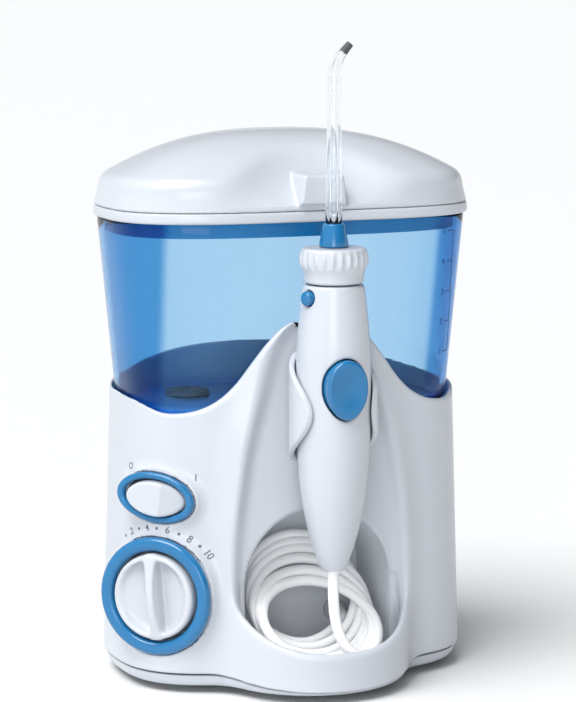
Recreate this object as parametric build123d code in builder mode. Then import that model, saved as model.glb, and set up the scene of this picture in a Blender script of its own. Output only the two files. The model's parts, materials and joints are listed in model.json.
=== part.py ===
from build123d import *
from math import atan2, cos, hypot, pi, radians, sin
import os

# Countertop water flosser: a white base, a lift-off water tank with a hinged lid,
# and a handle that stands in a cradle on the front of the base.
# Millimetres. +Z is up, -Y is the front, +X is the right hand side seen from the front.
# The origin is on the table, under the middle of the tank.

# ---------------------------------------------------------------- driving dimensions
FRONT_POWER = 3.2          # how square the front half of the plan outline is
BACK_POWER = 2.1           # the back half is nearly an ellipse
OUTLINE_POINTS = 40

# (half width, depth in front, depth behind) of the plan at named heights
BODY_LOW, BODY_LOW_Z = (74.5, 51.0, 55.0), 8.8
BODY_HIGH, BODY_HIGH_Z = (69.8, 49.3, 52.8), 160.0
SKIRT_LOW, SKIRT_LOW_Z = (72.0, 48.5, 52.5), 3.0
SKIRT_TOP_Z = 8.2
TANK_LOW, TANK_LOW_Z = (68.4, 45.0, 49.3), 111.2
TANK_HIGH, TANK_HIGH_Z = (76.0, 49.0, 54.0), 190.2
LID_RIM = (77.5, 49.8, 55.0)
LID_WALL_TOP = (76.2, 49.0, 54.0)
LID_LOW_Z, LID_RIM_Z, LID_WALL_Z = 190.5, 196.0, 204.0
LID_DOME = (((71.5, 45.5, 50.0), 212.0), ((60.0, 37.5, 42.0), 219.0),
            ((43.0, 26.0, 30.0), 223.5), ((24.0, 14.0, 17.0), 225.0))

WALL = 2.6                 # moulded wall of the base
TANK_WALL = 2.0
DECK_LOW_Z, DECK_TOP_Z = 108.0, 111.0
RIM_HIGH_Z = 162.0         # above the highest point of the base
TANK_GAP = 0.5             # between the tank and the rim of the base

LOBE_Y, LOBE_R = -37.0, 42.0   # the rounded front of the base that holds the hose
LIP_WALL = 3.0
RECESS_BACK_Y = -48.4      # the back of the scoop that the handle stands in
BAY_HALF, BAY_CENTRE_Z = 31.0, 43.0
BAY_FLOOR_Z, BAY_BACK_Y = 11.0, -12.0

HANDLE_Y = -65.0
HANDLE_BOTTOM_Z, HANDLE_TOP_Z = 52.0, 167.4
HANDLE_WALL = 1.8
CLIP_GAP = 0.7
COLLAR_LOW_Z, COLLAR_TOP_Z = 168.0, 182.0
TIP_BASE_TOP_Z, TIP_BEND_Z = 191.5, 250.0
TIP_FLUTES = 24

CONTROL_TURN = 43.0        # the controls face this far left of the front, in degrees
CONTROL_ROLL = -7.0        # and the pair leans a little to the right
CONTROL_FACE = (-63.76, -34.27)   # the middle of the controls' flat, in plan
DIAL_Z, SWITCH_Z = 40.2, 80.5
DIAL_RING_R, DIAL_BORE_R, DIAL_KNOB_R = 24.2, 18.5, 17.9
SWITCH_HALF = (17.0, 10.2)
SWITCH_BORE = (13.6, 7.4)

PAUSE_Z = 127.0
PAUSE_HALF = (8.5, 12.0)
DISH_R = 24.0
EJECT_Z, EJECT_R, EJECT_TURN = 162.5, 2.9, 73.0

GEAR_MODULE, GEAR_TEETH, PINION_TEETH = 0.8, 48, 12
GEAR_X, GEAR_Y, GEAR_Z = 4.0, 22.0, 32.0
GEAR_THICK = 7.0
CRANK_THROW, CRANK_R = 1.5, 5.0
CYLINDER_ENDS, CYLINDER_R, STUB_X = (-17.0, -50.0), 8.0, -44.0
BOARD_X = 37.0
INLET_Y, INLET_Z, INLET_R = 55.0, 20.0, 5.2

SCREW_POSTS = ((-62, 9), (62, 9), (-38, 36.5), (38, 36.5), (55, -32.5))
FEET = ((-46, -21), (46, -21), (-50, 23), (50, 23))
PLATE_LOW_Z = 5.4
HINGE_Y, HINGE_Z, HINGE_PIN_R = 57.0, 193.6, 1.5
HOSE_D = 4.4
HOSE_RUN = ((0, -65.0, 52.0), (0, -65.0, 42.0), (0.6, -65.8, 30.5), (3.8, -68.6, 20.2))
HOSE_TAIL = ((21.0, -17.0, 23.0), (21.0, -23.5, 23.0), (18.2, -28.8, 21.0))
BAY_FRONT_Y = -45.8

# body radius of the handle at each height, from the hose end to the collar
HANDLE_PROFILE = ((4.6, 52.0), (6.6, 56.5), (9.6, 66.0), (12.2, 78.0), (14.1, 95.0), (14.9, 121.0),
                  (14.4, 146.0), (12.2, 167.4))
CLIP_R = 14.9 + CLIP_GAP
CLIP_LOW_Z, CLIP_HIGH_Z = 98.0, 136.0
# the coil's turns lean back, the front one most: y, z, lean in degrees
COIL_ENDS = ((-54.5, 29.8, 46.0), (-41.0, 33.5, 32.0), (-27.5, 37.6, 20.0))
COIL_OUTER_R, COIL_INNER_R = 25.4, 18.5
# the clear shaft tapers as it rises and then leans over towards its outlet: x, z, lean, radius
TIP_PATH = ((0, TIP_BASE_TOP_Z, 0, 3.3), (0, TIP_BEND_Z, 0, 2.7), (0.7, TIP_BEND_Z + 3.6, 20, 2.5),
            (2.1, TIP_BEND_Z + 6.4, 34, 2.15), (3.6, TIP_BEND_Z + 8.3, 42, 1.75))
TIP_BOTTOM_Z = 156.0       # foot of the tip's stem, inside the handle

ROCKER_PIVOT = -4.5        # depth of the rocker's pivot behind the flat
ROCKER_PIN_R = 1.3
PORT_X, PORT_Y = -35.0, 15.0   # the tank's outlet and its socket in the deck
TRAY_FLOOR_Z = 184.6
EAR_INNER, EAR_OUTER, KNUCKLE_OUTER = 18.0, 26.0, 34.0
EAR_R = 2.9

MOTOR_X = GEAR_X + GEAR_MODULE * (GEAR_TEETH + PINION_TEETH) / 2
FRAME_LEGS = ((-50, 6), (-30, 38), (46, 12), (20, 41))
MOTOR_POSTS = ((46, 12), (46, 32), (22, 43.5), (22, 0.5))
FRAME_Z, FRAME_T = 26.0, 2.5
PISTON_R, PISTON_Z = 4.7, GEAR_Z + GEAR_THICK + 6.2
BRACKET_Z, MOTOR_LOW_Z, MOTOR_H = 51.0, 53.5, 46.0
RING_R = CRANK_R + 2 * CRANK_THROW + 0.4      # inside of the plunger's yoke
INNER_TUBE_R = 2.4

# height of the front and back edges of the base at distances from the middle: x, z
FRONT_WAVE = ((0, 154), (9, 152.3), (16, 148.5), (22, 142.7), (28.5, 134.5), (34, 127.2),
              (40, 121.2), (47, 117), (55, 114.8), (62, 114.8), (71, 120))
BACK_WAVE = ((0, 130), (25, 129), (48, 125.8), (71, 120))
# the rounded front of the base: half width, depth, z
LOBE_SECTIONS = ((42.0, 42.0, 8.8), (42.0, 42.0, 26.0), (41.5, 36.0, 45.0), (40.0, 30.0, 80.0),
                 (35.0, 20.5, 119.0), (24.0, 13.5, 152.0))
# right hand edge of the scoop for the handle: half width, z
SCOOP_RIM = ((0, 21), (15, 22.3), (26, 25.8), (33.5, 32), (36.8, 43), (36.5, 57), (34.3, 80),
             (31.7, 97), (26, 119), (19.5, 140), (9, 158))

os.makedirs("parts", exist_ok=True)


# ---------------------------------------------------------------- shared outlines
def plan_point(size, angle):
    """A point on the plan outline: a superellipse, squarer in front than behind."""
    half, front, back = size
    depth, power = (front, FRONT_POWER) if sin(angle) < 0 else (back, BACK_POWER)
    reach = (abs(cos(angle) / half) ** power + abs(sin(angle) / depth) ** power) ** (-1 / power)
    return reach * cos(angle), reach * sin(angle)


def plan_face(size):
    """The plan outline as a face."""
    points = [plan_point(size, 2 * pi * i / OUTLINE_POINTS) for i in range(OUTLINE_POINTS)]
    with BuildSketch() as outline:
        with BuildLine():
            Spline(points, periodic=True)
        make_face()
    return outline.sketch


def shrink(size, by):
    return tuple(value - by for value in size)


def between(low, high, low_z, high_z, z):
    """The plan size at height z of a wall that runs straight from low to high."""
    share = (z - low_z) / (high_z - low_z)
    return tuple(a + (b - a) * share for a, b in zip(low, high))


def body_size(z):
    return between(BODY_LOW, BODY_HIGH, BODY_LOW_Z, BODY_HIGH_Z, z)


def tank_size(z):
    return between(TANK_LOW, TANK_HIGH, TANK_LOW_Z, TANK_HIGH_Z, z)


def plan_loft(*sections, ruled=True):
    """A loft through plan outlines, given as (size, z) pairs."""
    with BuildPart() as body:
        for size, z in sections:
            with BuildSketch(Plane.XY.offset(z)):
                add(plan_face(size))
        loft(ruled=ruled)
    return body.part


def control_plane(z, depth=0.0):
    """The flat on the front left corner: +Z outwards, depth in front of the flat."""
    turn = radians(CONTROL_TURN)
    out = Vector(-sin(turn), -cos(turn), 0)
    centre = Vector(CONTROL_FACE[0], CONTROL_FACE[1], z) + out * depth
    return Plane(origin=centre, x_dir=(cos(turn), -sin(turn), 0), z_dir=out)


def above_wave(points, y_front, y_back):
    """Everything above a mirrored profile of (x, z) points, over a band of depth."""
    whole = [(-x, z) for x, z in reversed(points[1:])] + list(points)
    (left, low), (right, _) = whole[0], whole[-1]
    with BuildPart() as body:
        with BuildSketch(Plane.XZ.offset(-y_back)):
            with BuildLine():
                Spline(whole)
                Polyline((right, low), (100, low), (100, 240), (-100, 240), (-100, low), (left, low))
            make_face()
        extrude(amount=y_back - y_front)
    return body.part


# ---------------------------------------------------------------- base shell
with BuildPart() as base_housing:
    add(plan_loft((BODY_LOW, BODY_LOW_Z), (BODY_HIGH, BODY_HIGH_Z)))
    # the rounded front: round at the foot, flatter and narrower as it climbs
    for half, depth, z in LOBE_SECTIONS:
        with BuildSketch(Plane.XY.offset(z)):
            with Locations((0, LOBE_Y)):
                Ellipse(half, depth)
    loft()
    # raised seats for the dial and the switch on the corner
    with BuildSketch(control_plane(DIAL_Z, -10)):
        Circle(DIAL_RING_R)
    extrude(amount=10)
    with BuildSketch(control_plane(SWITCH_Z, -10)):
        Ellipse(SWITCH_HALF[0], SWITCH_HALF[1], rotation=CONTROL_ROLL)
    extrude(amount=10)
    with BuildSketch(control_plane(DIAL_Z)):
        Circle(DIAL_RING_R)
    extrude(amount=15, mode=Mode.SUBTRACT)
    with BuildSketch(control_plane(SWITCH_Z)):
        Ellipse(SWITCH_HALF[0], SWITCH_HALF[1], rotation=CONTROL_ROLL)
    extrude(amount=15, mode=Mode.SUBTRACT)
    # hollow below the deck and above it
    add(plan_loft((shrink(BODY_LOW, WALL), BODY_LOW_Z), (shrink(body_size(DECK_LOW_Z), WALL), DECK_LOW_Z)),
        mode=Mode.SUBTRACT)
    well_low, well_high = tank_size(DECK_TOP_Z), tank_size(RIM_HIGH_Z)
    add(plan_loft((shrink(well_low, -TANK_GAP), DECK_TOP_Z), (shrink(well_high, -TANK_GAP), RIM_HIGH_Z)),
        mode=Mode.SUBTRACT)
    add(above_wave(FRONT_WAVE, -120, 0), mode=Mode.SUBTRACT)
    add(above_wave(BACK_WAVE, 0, 80), mode=Mode.SUBTRACT)
    # walls of the dial and switch seats, put back inside the hollow
    with BuildSketch(control_plane(DIAL_Z, -10)):
        Circle(DIAL_RING_R)
    extrude(amount=8)
    with BuildSketch(control_plane(SWITCH_Z, -10)):
        Ellipse(SWITCH_HALF[0], SWITCH_HALF[1], rotation=CONTROL_ROLL)
    extrude(amount=8)
    # the scoop that the handle stands in
    with BuildSketch(Plane.XZ.offset(-RECESS_BACK_Y)):
        with BuildLine():
            right = Spline([Vector(*p) for p in SCOOP_RIM], tangents=[(1, 0), (-0.55, 1)])
            mirror(right, about=Plane.YZ)
            half, top = SCOOP_RIM[-1]
            Line((half, top), (-half, top))
        make_face()
    extrude(amount=60, mode=Mode.SUBTRACT)
    # the basin inside the lip
    with BuildSketch(Plane.XY.offset(BODY_LOW_Z)):
        with Locations((0, LOBE_Y)):
            Circle(LOBE_R - LIP_WALL)
        with Locations((0, -46)):
            Rectangle(120, 90, align=(Align.CENTER, Align.MIN), mode=Mode.SUBTRACT)
    extrude(amount=23, mode=Mode.SUBTRACT)
    # the round-topped mouth of the hose bay
    with BuildSketch(Plane.XZ.offset(44)):
        with Locations((0, BAY_CENTRE_Z)):
            Circle(BAY_HALF)
        with Locations((0, BODY_LOW_Z)):
            Rectangle(2 * BAY_HALF, BAY_CENTRE_Z - BODY_LOW_Z, align=(Align.CENTER, Align.MIN))
    extrude(amount=12, mode=Mode.SUBTRACT)
    # bores for the dial and the switch, with a floor behind each
    with BuildSketch(control_plane(DIAL_Z, -7.5)):
        Circle(DIAL_BORE_R)
    extrude(amount=20, mode=Mode.SUBTRACT)
    with BuildSketch(control_plane(DIAL_Z, -12)):
        Circle(4.6)
    extrude(amount=10, mode=Mode.SUBTRACT)
    with BuildSketch(control_plane(SWITCH_Z, -12)):
        Ellipse(SWITCH_BORE[0], SWITCH_BORE[1], rotation=CONTROL_ROLL)
    extrude(amount=24, mode=Mode.SUBTRACT)
    # seat of the tank's valve in the deck
    with Locations((PORT_X, PORT_Y, DECK_LOW_Z)):
        Cylinder(9.2, 10, mode=Mode.SUBTRACT)
    # inlet for the mains lead, low on the back
    with BuildSketch(Plane.XZ.offset(-60)):
        with Locations((0, INLET_Z)):
            Circle(INLET_R)
    extrude(amount=10, mode=Mode.SUBTRACT)
    # posts for the screws that hold the base plate
    with BuildSketch(Plane.XY.offset(BODY_LOW_Z)):
        for x, y in SCREW_POSTS:
            outward = hypot(x, y)
            middle = (x * (1 + 5 / outward), y * (1 + 5 / outward))
            with Locations(Location(middle, atan2(y, x) * 180 / pi)):
                Rectangle(11, 2.4)
        with Locations(*SCREW_POSTS):
            Circle(3.8)
            Circle(1.5, mode=Mode.SUBTRACT)
    extrude(amount=16)
base_housing.part.label = "base_housing"
export_step(base_housing.part, "parts/base_housing.step")


# ---------------------------------------------------------------- base plate, feet and screws
with BuildPart() as base_plate:
    plate_top = (between(SKIRT_LOW, BODY_LOW, SKIRT_LOW_Z, BODY_LOW_Z, SKIRT_TOP_Z), SKIRT_TOP_Z)
    add(plan_loft((SKIRT_LOW, SKIRT_LOW_Z), plate_top))
    for radius, z in ((LOBE_R - 2, SKIRT_LOW_Z), (LOBE_R - 0.3, SKIRT_TOP_Z)):
        with BuildSketch(Plane.XY.offset(z)):
            with Locations((0, LOBE_Y)):
                Circle(radius)
    loft()
    # hollow underside inside the skirt
    with BuildSketch(Plane.XY.offset(SKIRT_LOW_Z)):
        add(plan_face(shrink(SKIRT_LOW, 3)))
        with Locations((0, LOBE_Y)):
            Circle(LOBE_R - 5)
    extrude(amount=PLATE_LOW_Z - SKIRT_LOW_Z, mode=Mode.SUBTRACT)
    with BuildSketch(Plane.XY.offset(PLATE_LOW_Z)):
        with Locations(*SCREW_POSTS):
            Circle(1.8)
    extrude(amount=4, mode=Mode.SUBTRACT)
base_plate.part.label = "base_plate"
export_step(base_plate.part, "parts/base_plate.step")

with BuildPart() as rubber_feet:
    with BuildSketch():
        with Locations(*FEET):
            Circle(7)
    extrude(amount=PLATE_LOW_Z, taper=-4)
    fillet(rubber_feet.edges().group_by(Axis.Z)[0], 0.8)
rubber_feet.part.label = "rubber_feet"
export_step(rubber_feet.part, "parts/rubber_feet.step")

with BuildPart() as base_screws:
    with BuildSketch(Plane.XY.offset(PLATE_LOW_Z - 1.8)):
        with Locations(*SCREW_POSTS):
            Circle(2.9)
    extrude(amount=1.8)
    with BuildSketch(Plane.XY.offset(PLATE_LOW_Z)):
        with Locations(*SCREW_POSTS):
            Circle(1.45)
    extrude(amount=14)
    with Locations(*[(x, y, PLATE_LOW_Z - 1.8) for x, y in SCREW_POSTS]):
        Box(3.2, 0.7, 1.4, mode=Mode.SUBTRACT)
        Box(0.7, 3.2, 1.4, mode=Mode.SUBTRACT)
base_screws.part.label = "base_screws"
export_step(base_screws.part, "parts/base_screws.step")

# ---------------------------------------------------------------- hose bay
with BuildPart() as hose_bay:
    # a round-topped tunnel behind the mouth, closed at the back
    with BuildSketch(Plane.XZ.offset(-BAY_FRONT_Y)):
        with Locations((0, BAY_CENTRE_Z)):
            Circle(BAY_HALF + 2)
        with Locations((0, BAY_FLOOR_Z - 2)):
            Rectangle(2 * BAY_HALF + 4, BAY_CENTRE_Z - BAY_FLOOR_Z + 2, align=(Align.CENTER, Align.MIN))
    extrude(amount=BAY_FRONT_Y - BAY_BACK_Y - 2)
    with BuildSketch(Plane.XZ.offset(-BAY_FRONT_Y)):
        with Locations((0, BAY_CENTRE_Z)):
            Circle(BAY_HALF)
        with Locations((0, BAY_FLOOR_Z)):
            Rectangle(2 * BAY_HALF, BAY_CENTRE_Z - BAY_FLOOR_Z, align=(Align.CENTER, Align.MIN))
    extrude(amount=BAY_FRONT_Y - BAY_BACK_Y, mode=Mode.SUBTRACT)
    # the floor runs forward into the basin behind the lip
    with BuildSketch(Plane.XY.offset(BAY_FLOOR_Z - 2)):
        with Locations((0, LOBE_Y)):
            Circle(LOBE_R - LIP_WALL - 0.3)
        with Locations((0, BAY_FRONT_Y)):
            Rectangle(2 * BAY_HALF - 0.6, 120, mode=Mode.INTERSECT)
        with Locations((0, BAY_FRONT_Y)):
            Rectangle(120, 90, align=(Align.CENTER, Align.MIN), mode=Mode.SUBTRACT)
    extrude(amount=2)
    with BuildSketch(Plane.XZ.offset(-BAY_BACK_Y - 4)):
        with Locations((HOSE_TAIL[0][0], HOSE_TAIL[0][2])):
            Circle(3.2)
    extrude(amount=12, both=True, mode=Mode.SUBTRACT)
hose_bay.part.label = "hose_bay"
export_step(hose_bay.part, "parts/hose_bay.step")

with BuildPart() as hose_gland:
    with BuildSketch(Plane.XZ.offset(-BAY_BACK_Y)):
        with Locations((HOSE_TAIL[0][0], HOSE_TAIL[0][2])):
            Circle(5)
    extrude(amount=2)
    with BuildSketch(Plane.XZ.offset(-BAY_BACK_Y + 2)):
        with Locations((HOSE_TAIL[0][0], HOSE_TAIL[0][2])):
            Circle(3.9)
    extrude(amount=3, taper=8)
    with BuildSketch(Plane.XZ.offset(-BAY_BACK_Y)):
        with Locations((HOSE_TAIL[0][0], HOSE_TAIL[0][2])):
            Circle(3.0)
    extrude(amount=-8)
hose_gland.part.label = "hose_gland"
export_step(hose_gland.part, "parts/hose_gland.step")

# ---------------------------------------------------------------- hose
def round_tube(route, radius):
    """A solid tube on straight runs joined by wide arcs; prints each arc's radius."""
    points = [Vector(*p) for p in route]
    radii = []
    for before, here, after in zip(points, points[1:], points[2:]):
        half_turn = radians((here - before).get_angle(after - here)) / 2
        shortest = min((here - before).length, (after - here).length)
        radii.append(0.45 * shortest * cos(half_turn) / sin(half_turn))
    with BuildPart() as tube:
        with BuildLine():
            path = FilletPolyline(*points, radius=radii)
        with BuildSketch(Plane(origin=path @ 0, z_dir=path % 0)):
            Circle(radius)
        sweep()
    share = tube.part.volume / (path.length * pi * radius ** 2)
    print("tube radii", [round(r, 1) for r in radii], "volume share", round(share, 4))
    return tube.part


with BuildPart() as hose_run:
    add(round_tube(HOSE_RUN, HOSE_D / 2))
hose_run.part.label = "hose_run"
export_step(hose_run.part, "parts/hose_run.step")

with BuildPart() as hose_tail:
    add(round_tube(HOSE_TAIL, HOSE_D / 2))
hose_tail.part.label = "hose_tail"
export_step(hose_tail.part, "parts/hose_tail.step")

with BuildPart() as hose_coil:
    # the outer shape of the coil
    for radius, mode in ((COIL_OUTER_R, Mode.ADD), (COIL_INNER_R, Mode.SUBTRACT)):
        for y, z, lean in COIL_ENDS:
            facing = (0, -cos(radians(lean)), sin(radians(lean)))
            with BuildSketch(Plane(origin=(0, y, z), x_dir=(1, 0, 0), z_dir=facing)):
                Circle(radius)
        loft(mode=mode)
hose_coil.part.label = "hose_coil"
export_step(hose_coil.part, "parts/hose_coil.step")

# ---------------------------------------------------------------- handle cradle
with BuildPart() as handle_clip:
    # a C-shaped strap whose two wings reach furthest round the handle at mid height
    with BuildSketch(Plane.XY.offset(CLIP_LOW_Z)):
        with Locations((0, HANDLE_Y)):
            Circle(CLIP_R + 1.6)
            Circle(CLIP_R, mode=Mode.SUBTRACT)
        with Locations((0, RECESS_BACK_Y - 0.1)):
            Rectangle(60, 60, align=(Align.CENTER, Align.MIN), mode=Mode.SUBTRACT)
    extrude(amount=CLIP_HIGH_Z - CLIP_LOW_Z)
    with BuildSketch(Plane.YZ):
        with BuildLine():
            Spline((HANDLE_Y + 9, CLIP_HIGH_Z), (HANDLE_Y - 1, 128), (HANDLE_Y - 6.5, 116),
                   (HANDLE_Y - 3, 106), (HANDLE_Y + 6, CLIP_LOW_Z))
            Polyline((HANDLE_Y + 6, CLIP_LOW_Z), (HANDLE_Y - 30, CLIP_LOW_Z), (HANDLE_Y - 30, CLIP_HIGH_Z),
                     (HANDLE_Y + 9, CLIP_HIGH_Z))
        make_face()
    extrude(amount=40, both=True, mode=Mode.SUBTRACT)
handle_clip.part.label = "handle_clip"
export_step(handle_clip.part, "parts/handle_clip.step")

# ---------------------------------------------------------------- handle
def handle_outline(inset, low_z, high_z):
    """Half section of the handle, inset from its outside and cut off at two heights."""
    radii = [(radius - inset, z) for radius, z in HANDLE_PROFILE]
    with BuildSketch(Plane.XZ) as half:
        with BuildLine():
            side = Spline(radii)
            Polyline(side @ 1, (0, HANDLE_TOP_Z), (0, HANDLE_BOTTOM_Z), side @ 0)
        make_face()
        with Locations((0, low_z)):
            Rectangle(40, high_z - low_z, align=(Align.CENTER, Align.MIN), mode=Mode.INTERSECT)
    return half.sketch


eject_turn = radians(EJECT_TURN)


def button_plane(axis_y, z, turn):
    """A plane through the handle's axis that faces a button's way."""
    return Plane(origin=(0, axis_y, z), x_dir=(cos(turn), -sin(turn), 0), z_dir=(-sin(turn), -cos(turn), 0))


PAUSE_FACE = button_plane(HANDLE_Y, PAUSE_Z, 0)
EJECT_FACE = button_plane(HANDLE_Y, EJECT_Z, eject_turn)


def pause_outline(margin):
    """The pause button's outline: an oval that narrows to a blunt point at the bottom."""
    half, tall = PAUSE_HALF[0] + margin, PAUSE_HALF[1] + margin
    side = ((0, tall), (0.72 * half, 0.7 * tall), (half, 0.08 * tall), (0.74 * half, -0.62 * tall),
            (0.28 * half, -0.94 * tall), (0, -tall))
    left = [(-x, z) for x, z in reversed(side[1:-1])]
    with BuildSketch() as outline:
        with BuildLine():
            Spline(list(side) + left, periodic=True)
        make_face()
    return outline.sketch


with BuildPart() as handle_shell:
    add(handle_outline(0, HANDLE_BOTTOM_Z, HANDLE_TOP_Z))
    revolve(axis=Axis.Z)
    add(handle_outline(HANDLE_WALL, 62, HANDLE_TOP_Z - 2.2))
    revolve(axis=Axis.Z, mode=Mode.SUBTRACT)
    # the neck that the collar turns on, and the bore for the tip
    with Locations((0, 0, HANDLE_TOP_Z)):
        Cylinder(8.0, 9.0, align=(Align.CENTER, Align.CENTER, Align.MIN))
    with Locations((0, 0, HANDLE_TOP_Z - 4)):
        Cylinder(5.2, 16.0, align=(Align.CENTER, Align.CENTER, Align.MIN), mode=Mode.SUBTRACT)
    # hole for the hose
    Cylinder(2.4, 160, mode=Mode.SUBTRACT)
    with BuildSketch(button_plane(0, PAUSE_Z, 0)):
        add(pause_outline(0.35))
    extrude(amount=30, mode=Mode.SUBTRACT)
    with BuildSketch(button_plane(0, EJECT_Z, eject_turn)):
        Circle(EJECT_R + 0.3)
    extrude(amount=30, mode=Mode.SUBTRACT)
handle_shell.part.locate(Location((0, HANDLE_Y, 0)))
handle_shell.part.label = "handle_shell"
export_step(handle_shell.part, "parts/handle_shell.step")

with BuildPart() as hose_barb:
    # the barbed stub inside the handle that the hose is pushed on to
    with BuildSketch(Plane.XZ.offset(-HANDLE_Y)):
        with BuildLine():
            Polyline((0.9, 52.4), (1.8, 53.4), (1.8, 58), (2.2, 58), (1.8, 60), (1.8, 63), (4.2, 63),
                     (4.2, 66), (2.0, 66), (2.0, 86), (0.9, 86), (0.9, 52.4))
        make_face()
    revolve(axis=Axis((0, HANDLE_Y, 0), (0, 0, 1)))
hose_barb.part.label = "hose_barb"
export_step(hose_barb.part, "parts/hose_barb.step")

with BuildPart() as pause_valve:
    with Locations((0, HANDLE_Y + 3.5, 87)):
        Box(12, 9, 22, align=(Align.CENTER, Align.CENTER, Align.MIN))
    with BuildSketch(Plane.XY.offset(109)):
        with Locations((0, HANDLE_Y + 3.5)):
            Circle(2.2)
            Circle(1.2, mode=Mode.SUBTRACT)
    extrude(amount=44)
pause_valve.part.label = "pause_valve"
export_step(pause_valve.part, "parts/pause_valve.step")

with BuildPart() as tip_socket:
    # the sleeve under the neck that receives the tip
    with BuildSketch(Plane.XZ.offset(-HANDLE_Y)):
        with BuildLine():
            Polyline((3.3, 153.6), (6.4, 153.6), (6.4, 162.8), (4.9, 162.8), (4.9, 175.5), (3.3, 175.5),
                     (3.3, 153.6))
        make_face()
    revolve(axis=Axis((0, HANDLE_Y, 0), (0, 0, 1)))
    with BuildSketch(EJECT_FACE):
        Circle(1.6)
    extrude(amount=12, mode=Mode.SUBTRACT)
tip_socket.part.label = "tip_socket"
export_step(tip_socket.part, "parts/tip_socket.step")

with BuildPart() as pause_button:
    # a dished oval that stands a little proud of the handle
    with BuildSketch(PAUSE_FACE.offset(8.2)):
        add(pause_outline(0))
    extrude(amount=9.0)
    fillet(pause_button.faces().sort_by(Axis.Y)[0].edges(), 0.8)
    with Locations((0.9, HANDLE_Y - 17.2 - DISH_R + 1.2, PAUSE_Z + 0.5)):
        Sphere(DISH_R, mode=Mode.SUBTRACT)
    with BuildSketch(PAUSE_FACE.offset(5.2)):
        Circle(2.2)
    extrude(amount=3.2)
pause_button.part.label = "pause_button"
export_step(pause_button.part, "parts/pause_button.step")

with BuildPart() as eject_button:
    with BuildSketch(EJECT_FACE.offset(9.4)):
        Circle(EJECT_R)
    extrude(amount=5.4)
    inwards = Axis((0, 0, 0), (sin(eject_turn), cos(eject_turn), 0))
    fillet(eject_button.faces().sort_by(inwards)[0].edges(), 1.0)
    with BuildSketch(EJECT_FACE.offset(5.3)):
        Circle(1.2)
    extrude(amount=4.2)
eject_button.part.label = "eject_button"
export_step(eject_button.part, "parts/eject_button.step")


def coil_spring(face, start, end, radius, wire, turns):
    """A pressed compression spring drawn as separate turns, each a ring, along a face's normal."""
    with BuildPart() as spring:
        for i in range(turns):
            at = start + wire + (end - start - 2 * wire) * i / (turns - 1)
            with Locations(face.offset(at)):
                Torus(radius, wire)
    return spring.part


with BuildPart() as pause_spring:
    add(coil_spring(PAUSE_FACE, 2.2, 6.2, 3.2, 0.3, 5))
pause_spring.part.label = "pause_spring"
export_step(pause_spring.part, "parts/pause_spring.step")

with BuildPart() as eject_spring:
    add(coil_spring(EJECT_FACE, 6.6, 7.7, 1.9, 0.15, 3))
eject_spring.part.label = "eject_spring"
export_step(eject_spring.part, "parts/eject_spring.step")

# ---------------------------------------------------------------- collar and tip
HANDLE_AXIS = Axis((0, HANDLE_Y, 0), (0, 0, 1))
with BuildPart() as tip_collar:
    with BuildSketch(Plane.XZ.offset(-HANDLE_Y)):
        with BuildLine():
            Polyline((8.3, COLLAR_LOW_Z), (11.9, COLLAR_LOW_Z), (12.1, 172.0), (13.6, 175.6),
                     (13.6, 179.2), (12.4, COLLAR_TOP_Z), (3.6, COLLAR_TOP_Z), (3.6, 177.0),
                     (8.3, 177.0), (8.3, COLLAR_LOW_Z))
        make_face()
    revolve(axis=HANDLE_AXIS)
    with Locations((0, HANDLE_Y, 173.2)):
        with PolarLocations(14.4, TIP_FLUTES):
            Cylinder(1.35, 14, align=(Align.CENTER, Align.CENTER, Align.MIN), mode=Mode.SUBTRACT)
tip_collar.part.label = "tip_collar"
export_step(tip_collar.part, "parts/tip_collar.step")

with BuildPart() as tip_seat:
    # the coloured foot of the tip, with the stem that goes down through the collar
    with BuildSketch(Plane.XZ.offset(-HANDLE_Y)):
        with BuildLine():
            Polyline((0, TIP_BOTTOM_Z), (2.9, TIP_BOTTOM_Z), (3.1, COLLAR_TOP_Z + 0.3),
                     (5.9, COLLAR_TOP_Z + 0.3), (5.6, 184.0), (4.2, TIP_BASE_TOP_Z),
                     (0, TIP_BASE_TOP_Z), (0, TIP_BOTTOM_Z))
        make_face()
    revolve(axis=HANDLE_AXIS)
    with Locations((0, HANDLE_Y, TIP_BOTTOM_Z)):
        Cylinder(0.9, 60, align=(Align.CENTER, Align.CENTER, Align.MIN), mode=Mode.SUBTRACT)
tip_seat.part.label = "tip_seat"
export_step(tip_seat.part, "parts/tip_seat.step")


def tip_plane(x, z, lean):
    """A plane across the tip where it leans to the right by so many degrees."""
    turn = radians(lean)
    return Plane(origin=(x, HANDLE_Y, z), x_dir=(cos(turn), 0, -sin(turn)), z_dir=(sin(turn), 0, cos(turn)))


with BuildPart() as tip_shaft:
    for x, z, lean, radius in TIP_PATH:
        with BuildSketch(tip_plane(x, z, lean)):
            Circle(radius)
    loft(ruled=True)
    with Locations((0, HANDLE_Y, TIP_BASE_TOP_Z)):
        Cylinder(1.0, 54, align=(Align.CENTER, Align.CENTER, Align.MIN), mode=Mode.SUBTRACT)
tip_shaft.part.label = "tip_shaft"
export_step(tip_shaft.part, "parts/tip_shaft.step")

with BuildPart() as tip_nozzle:
    outlet = tip_plane(*TIP_PATH[-1][:3])
    for radius, along in ((1.75, 0), (1.45, 4.6)):
        with BuildSketch(outlet.offset(along)):
            Circle(radius)
    loft()
    with BuildSketch(outlet):
        Circle(0.55)
    extrude(amount=6, mode=Mode.SUBTRACT)
tip_nozzle.part.label = "tip_nozzle"
export_step(tip_nozzle.part, "parts/tip_nozzle.step")

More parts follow.
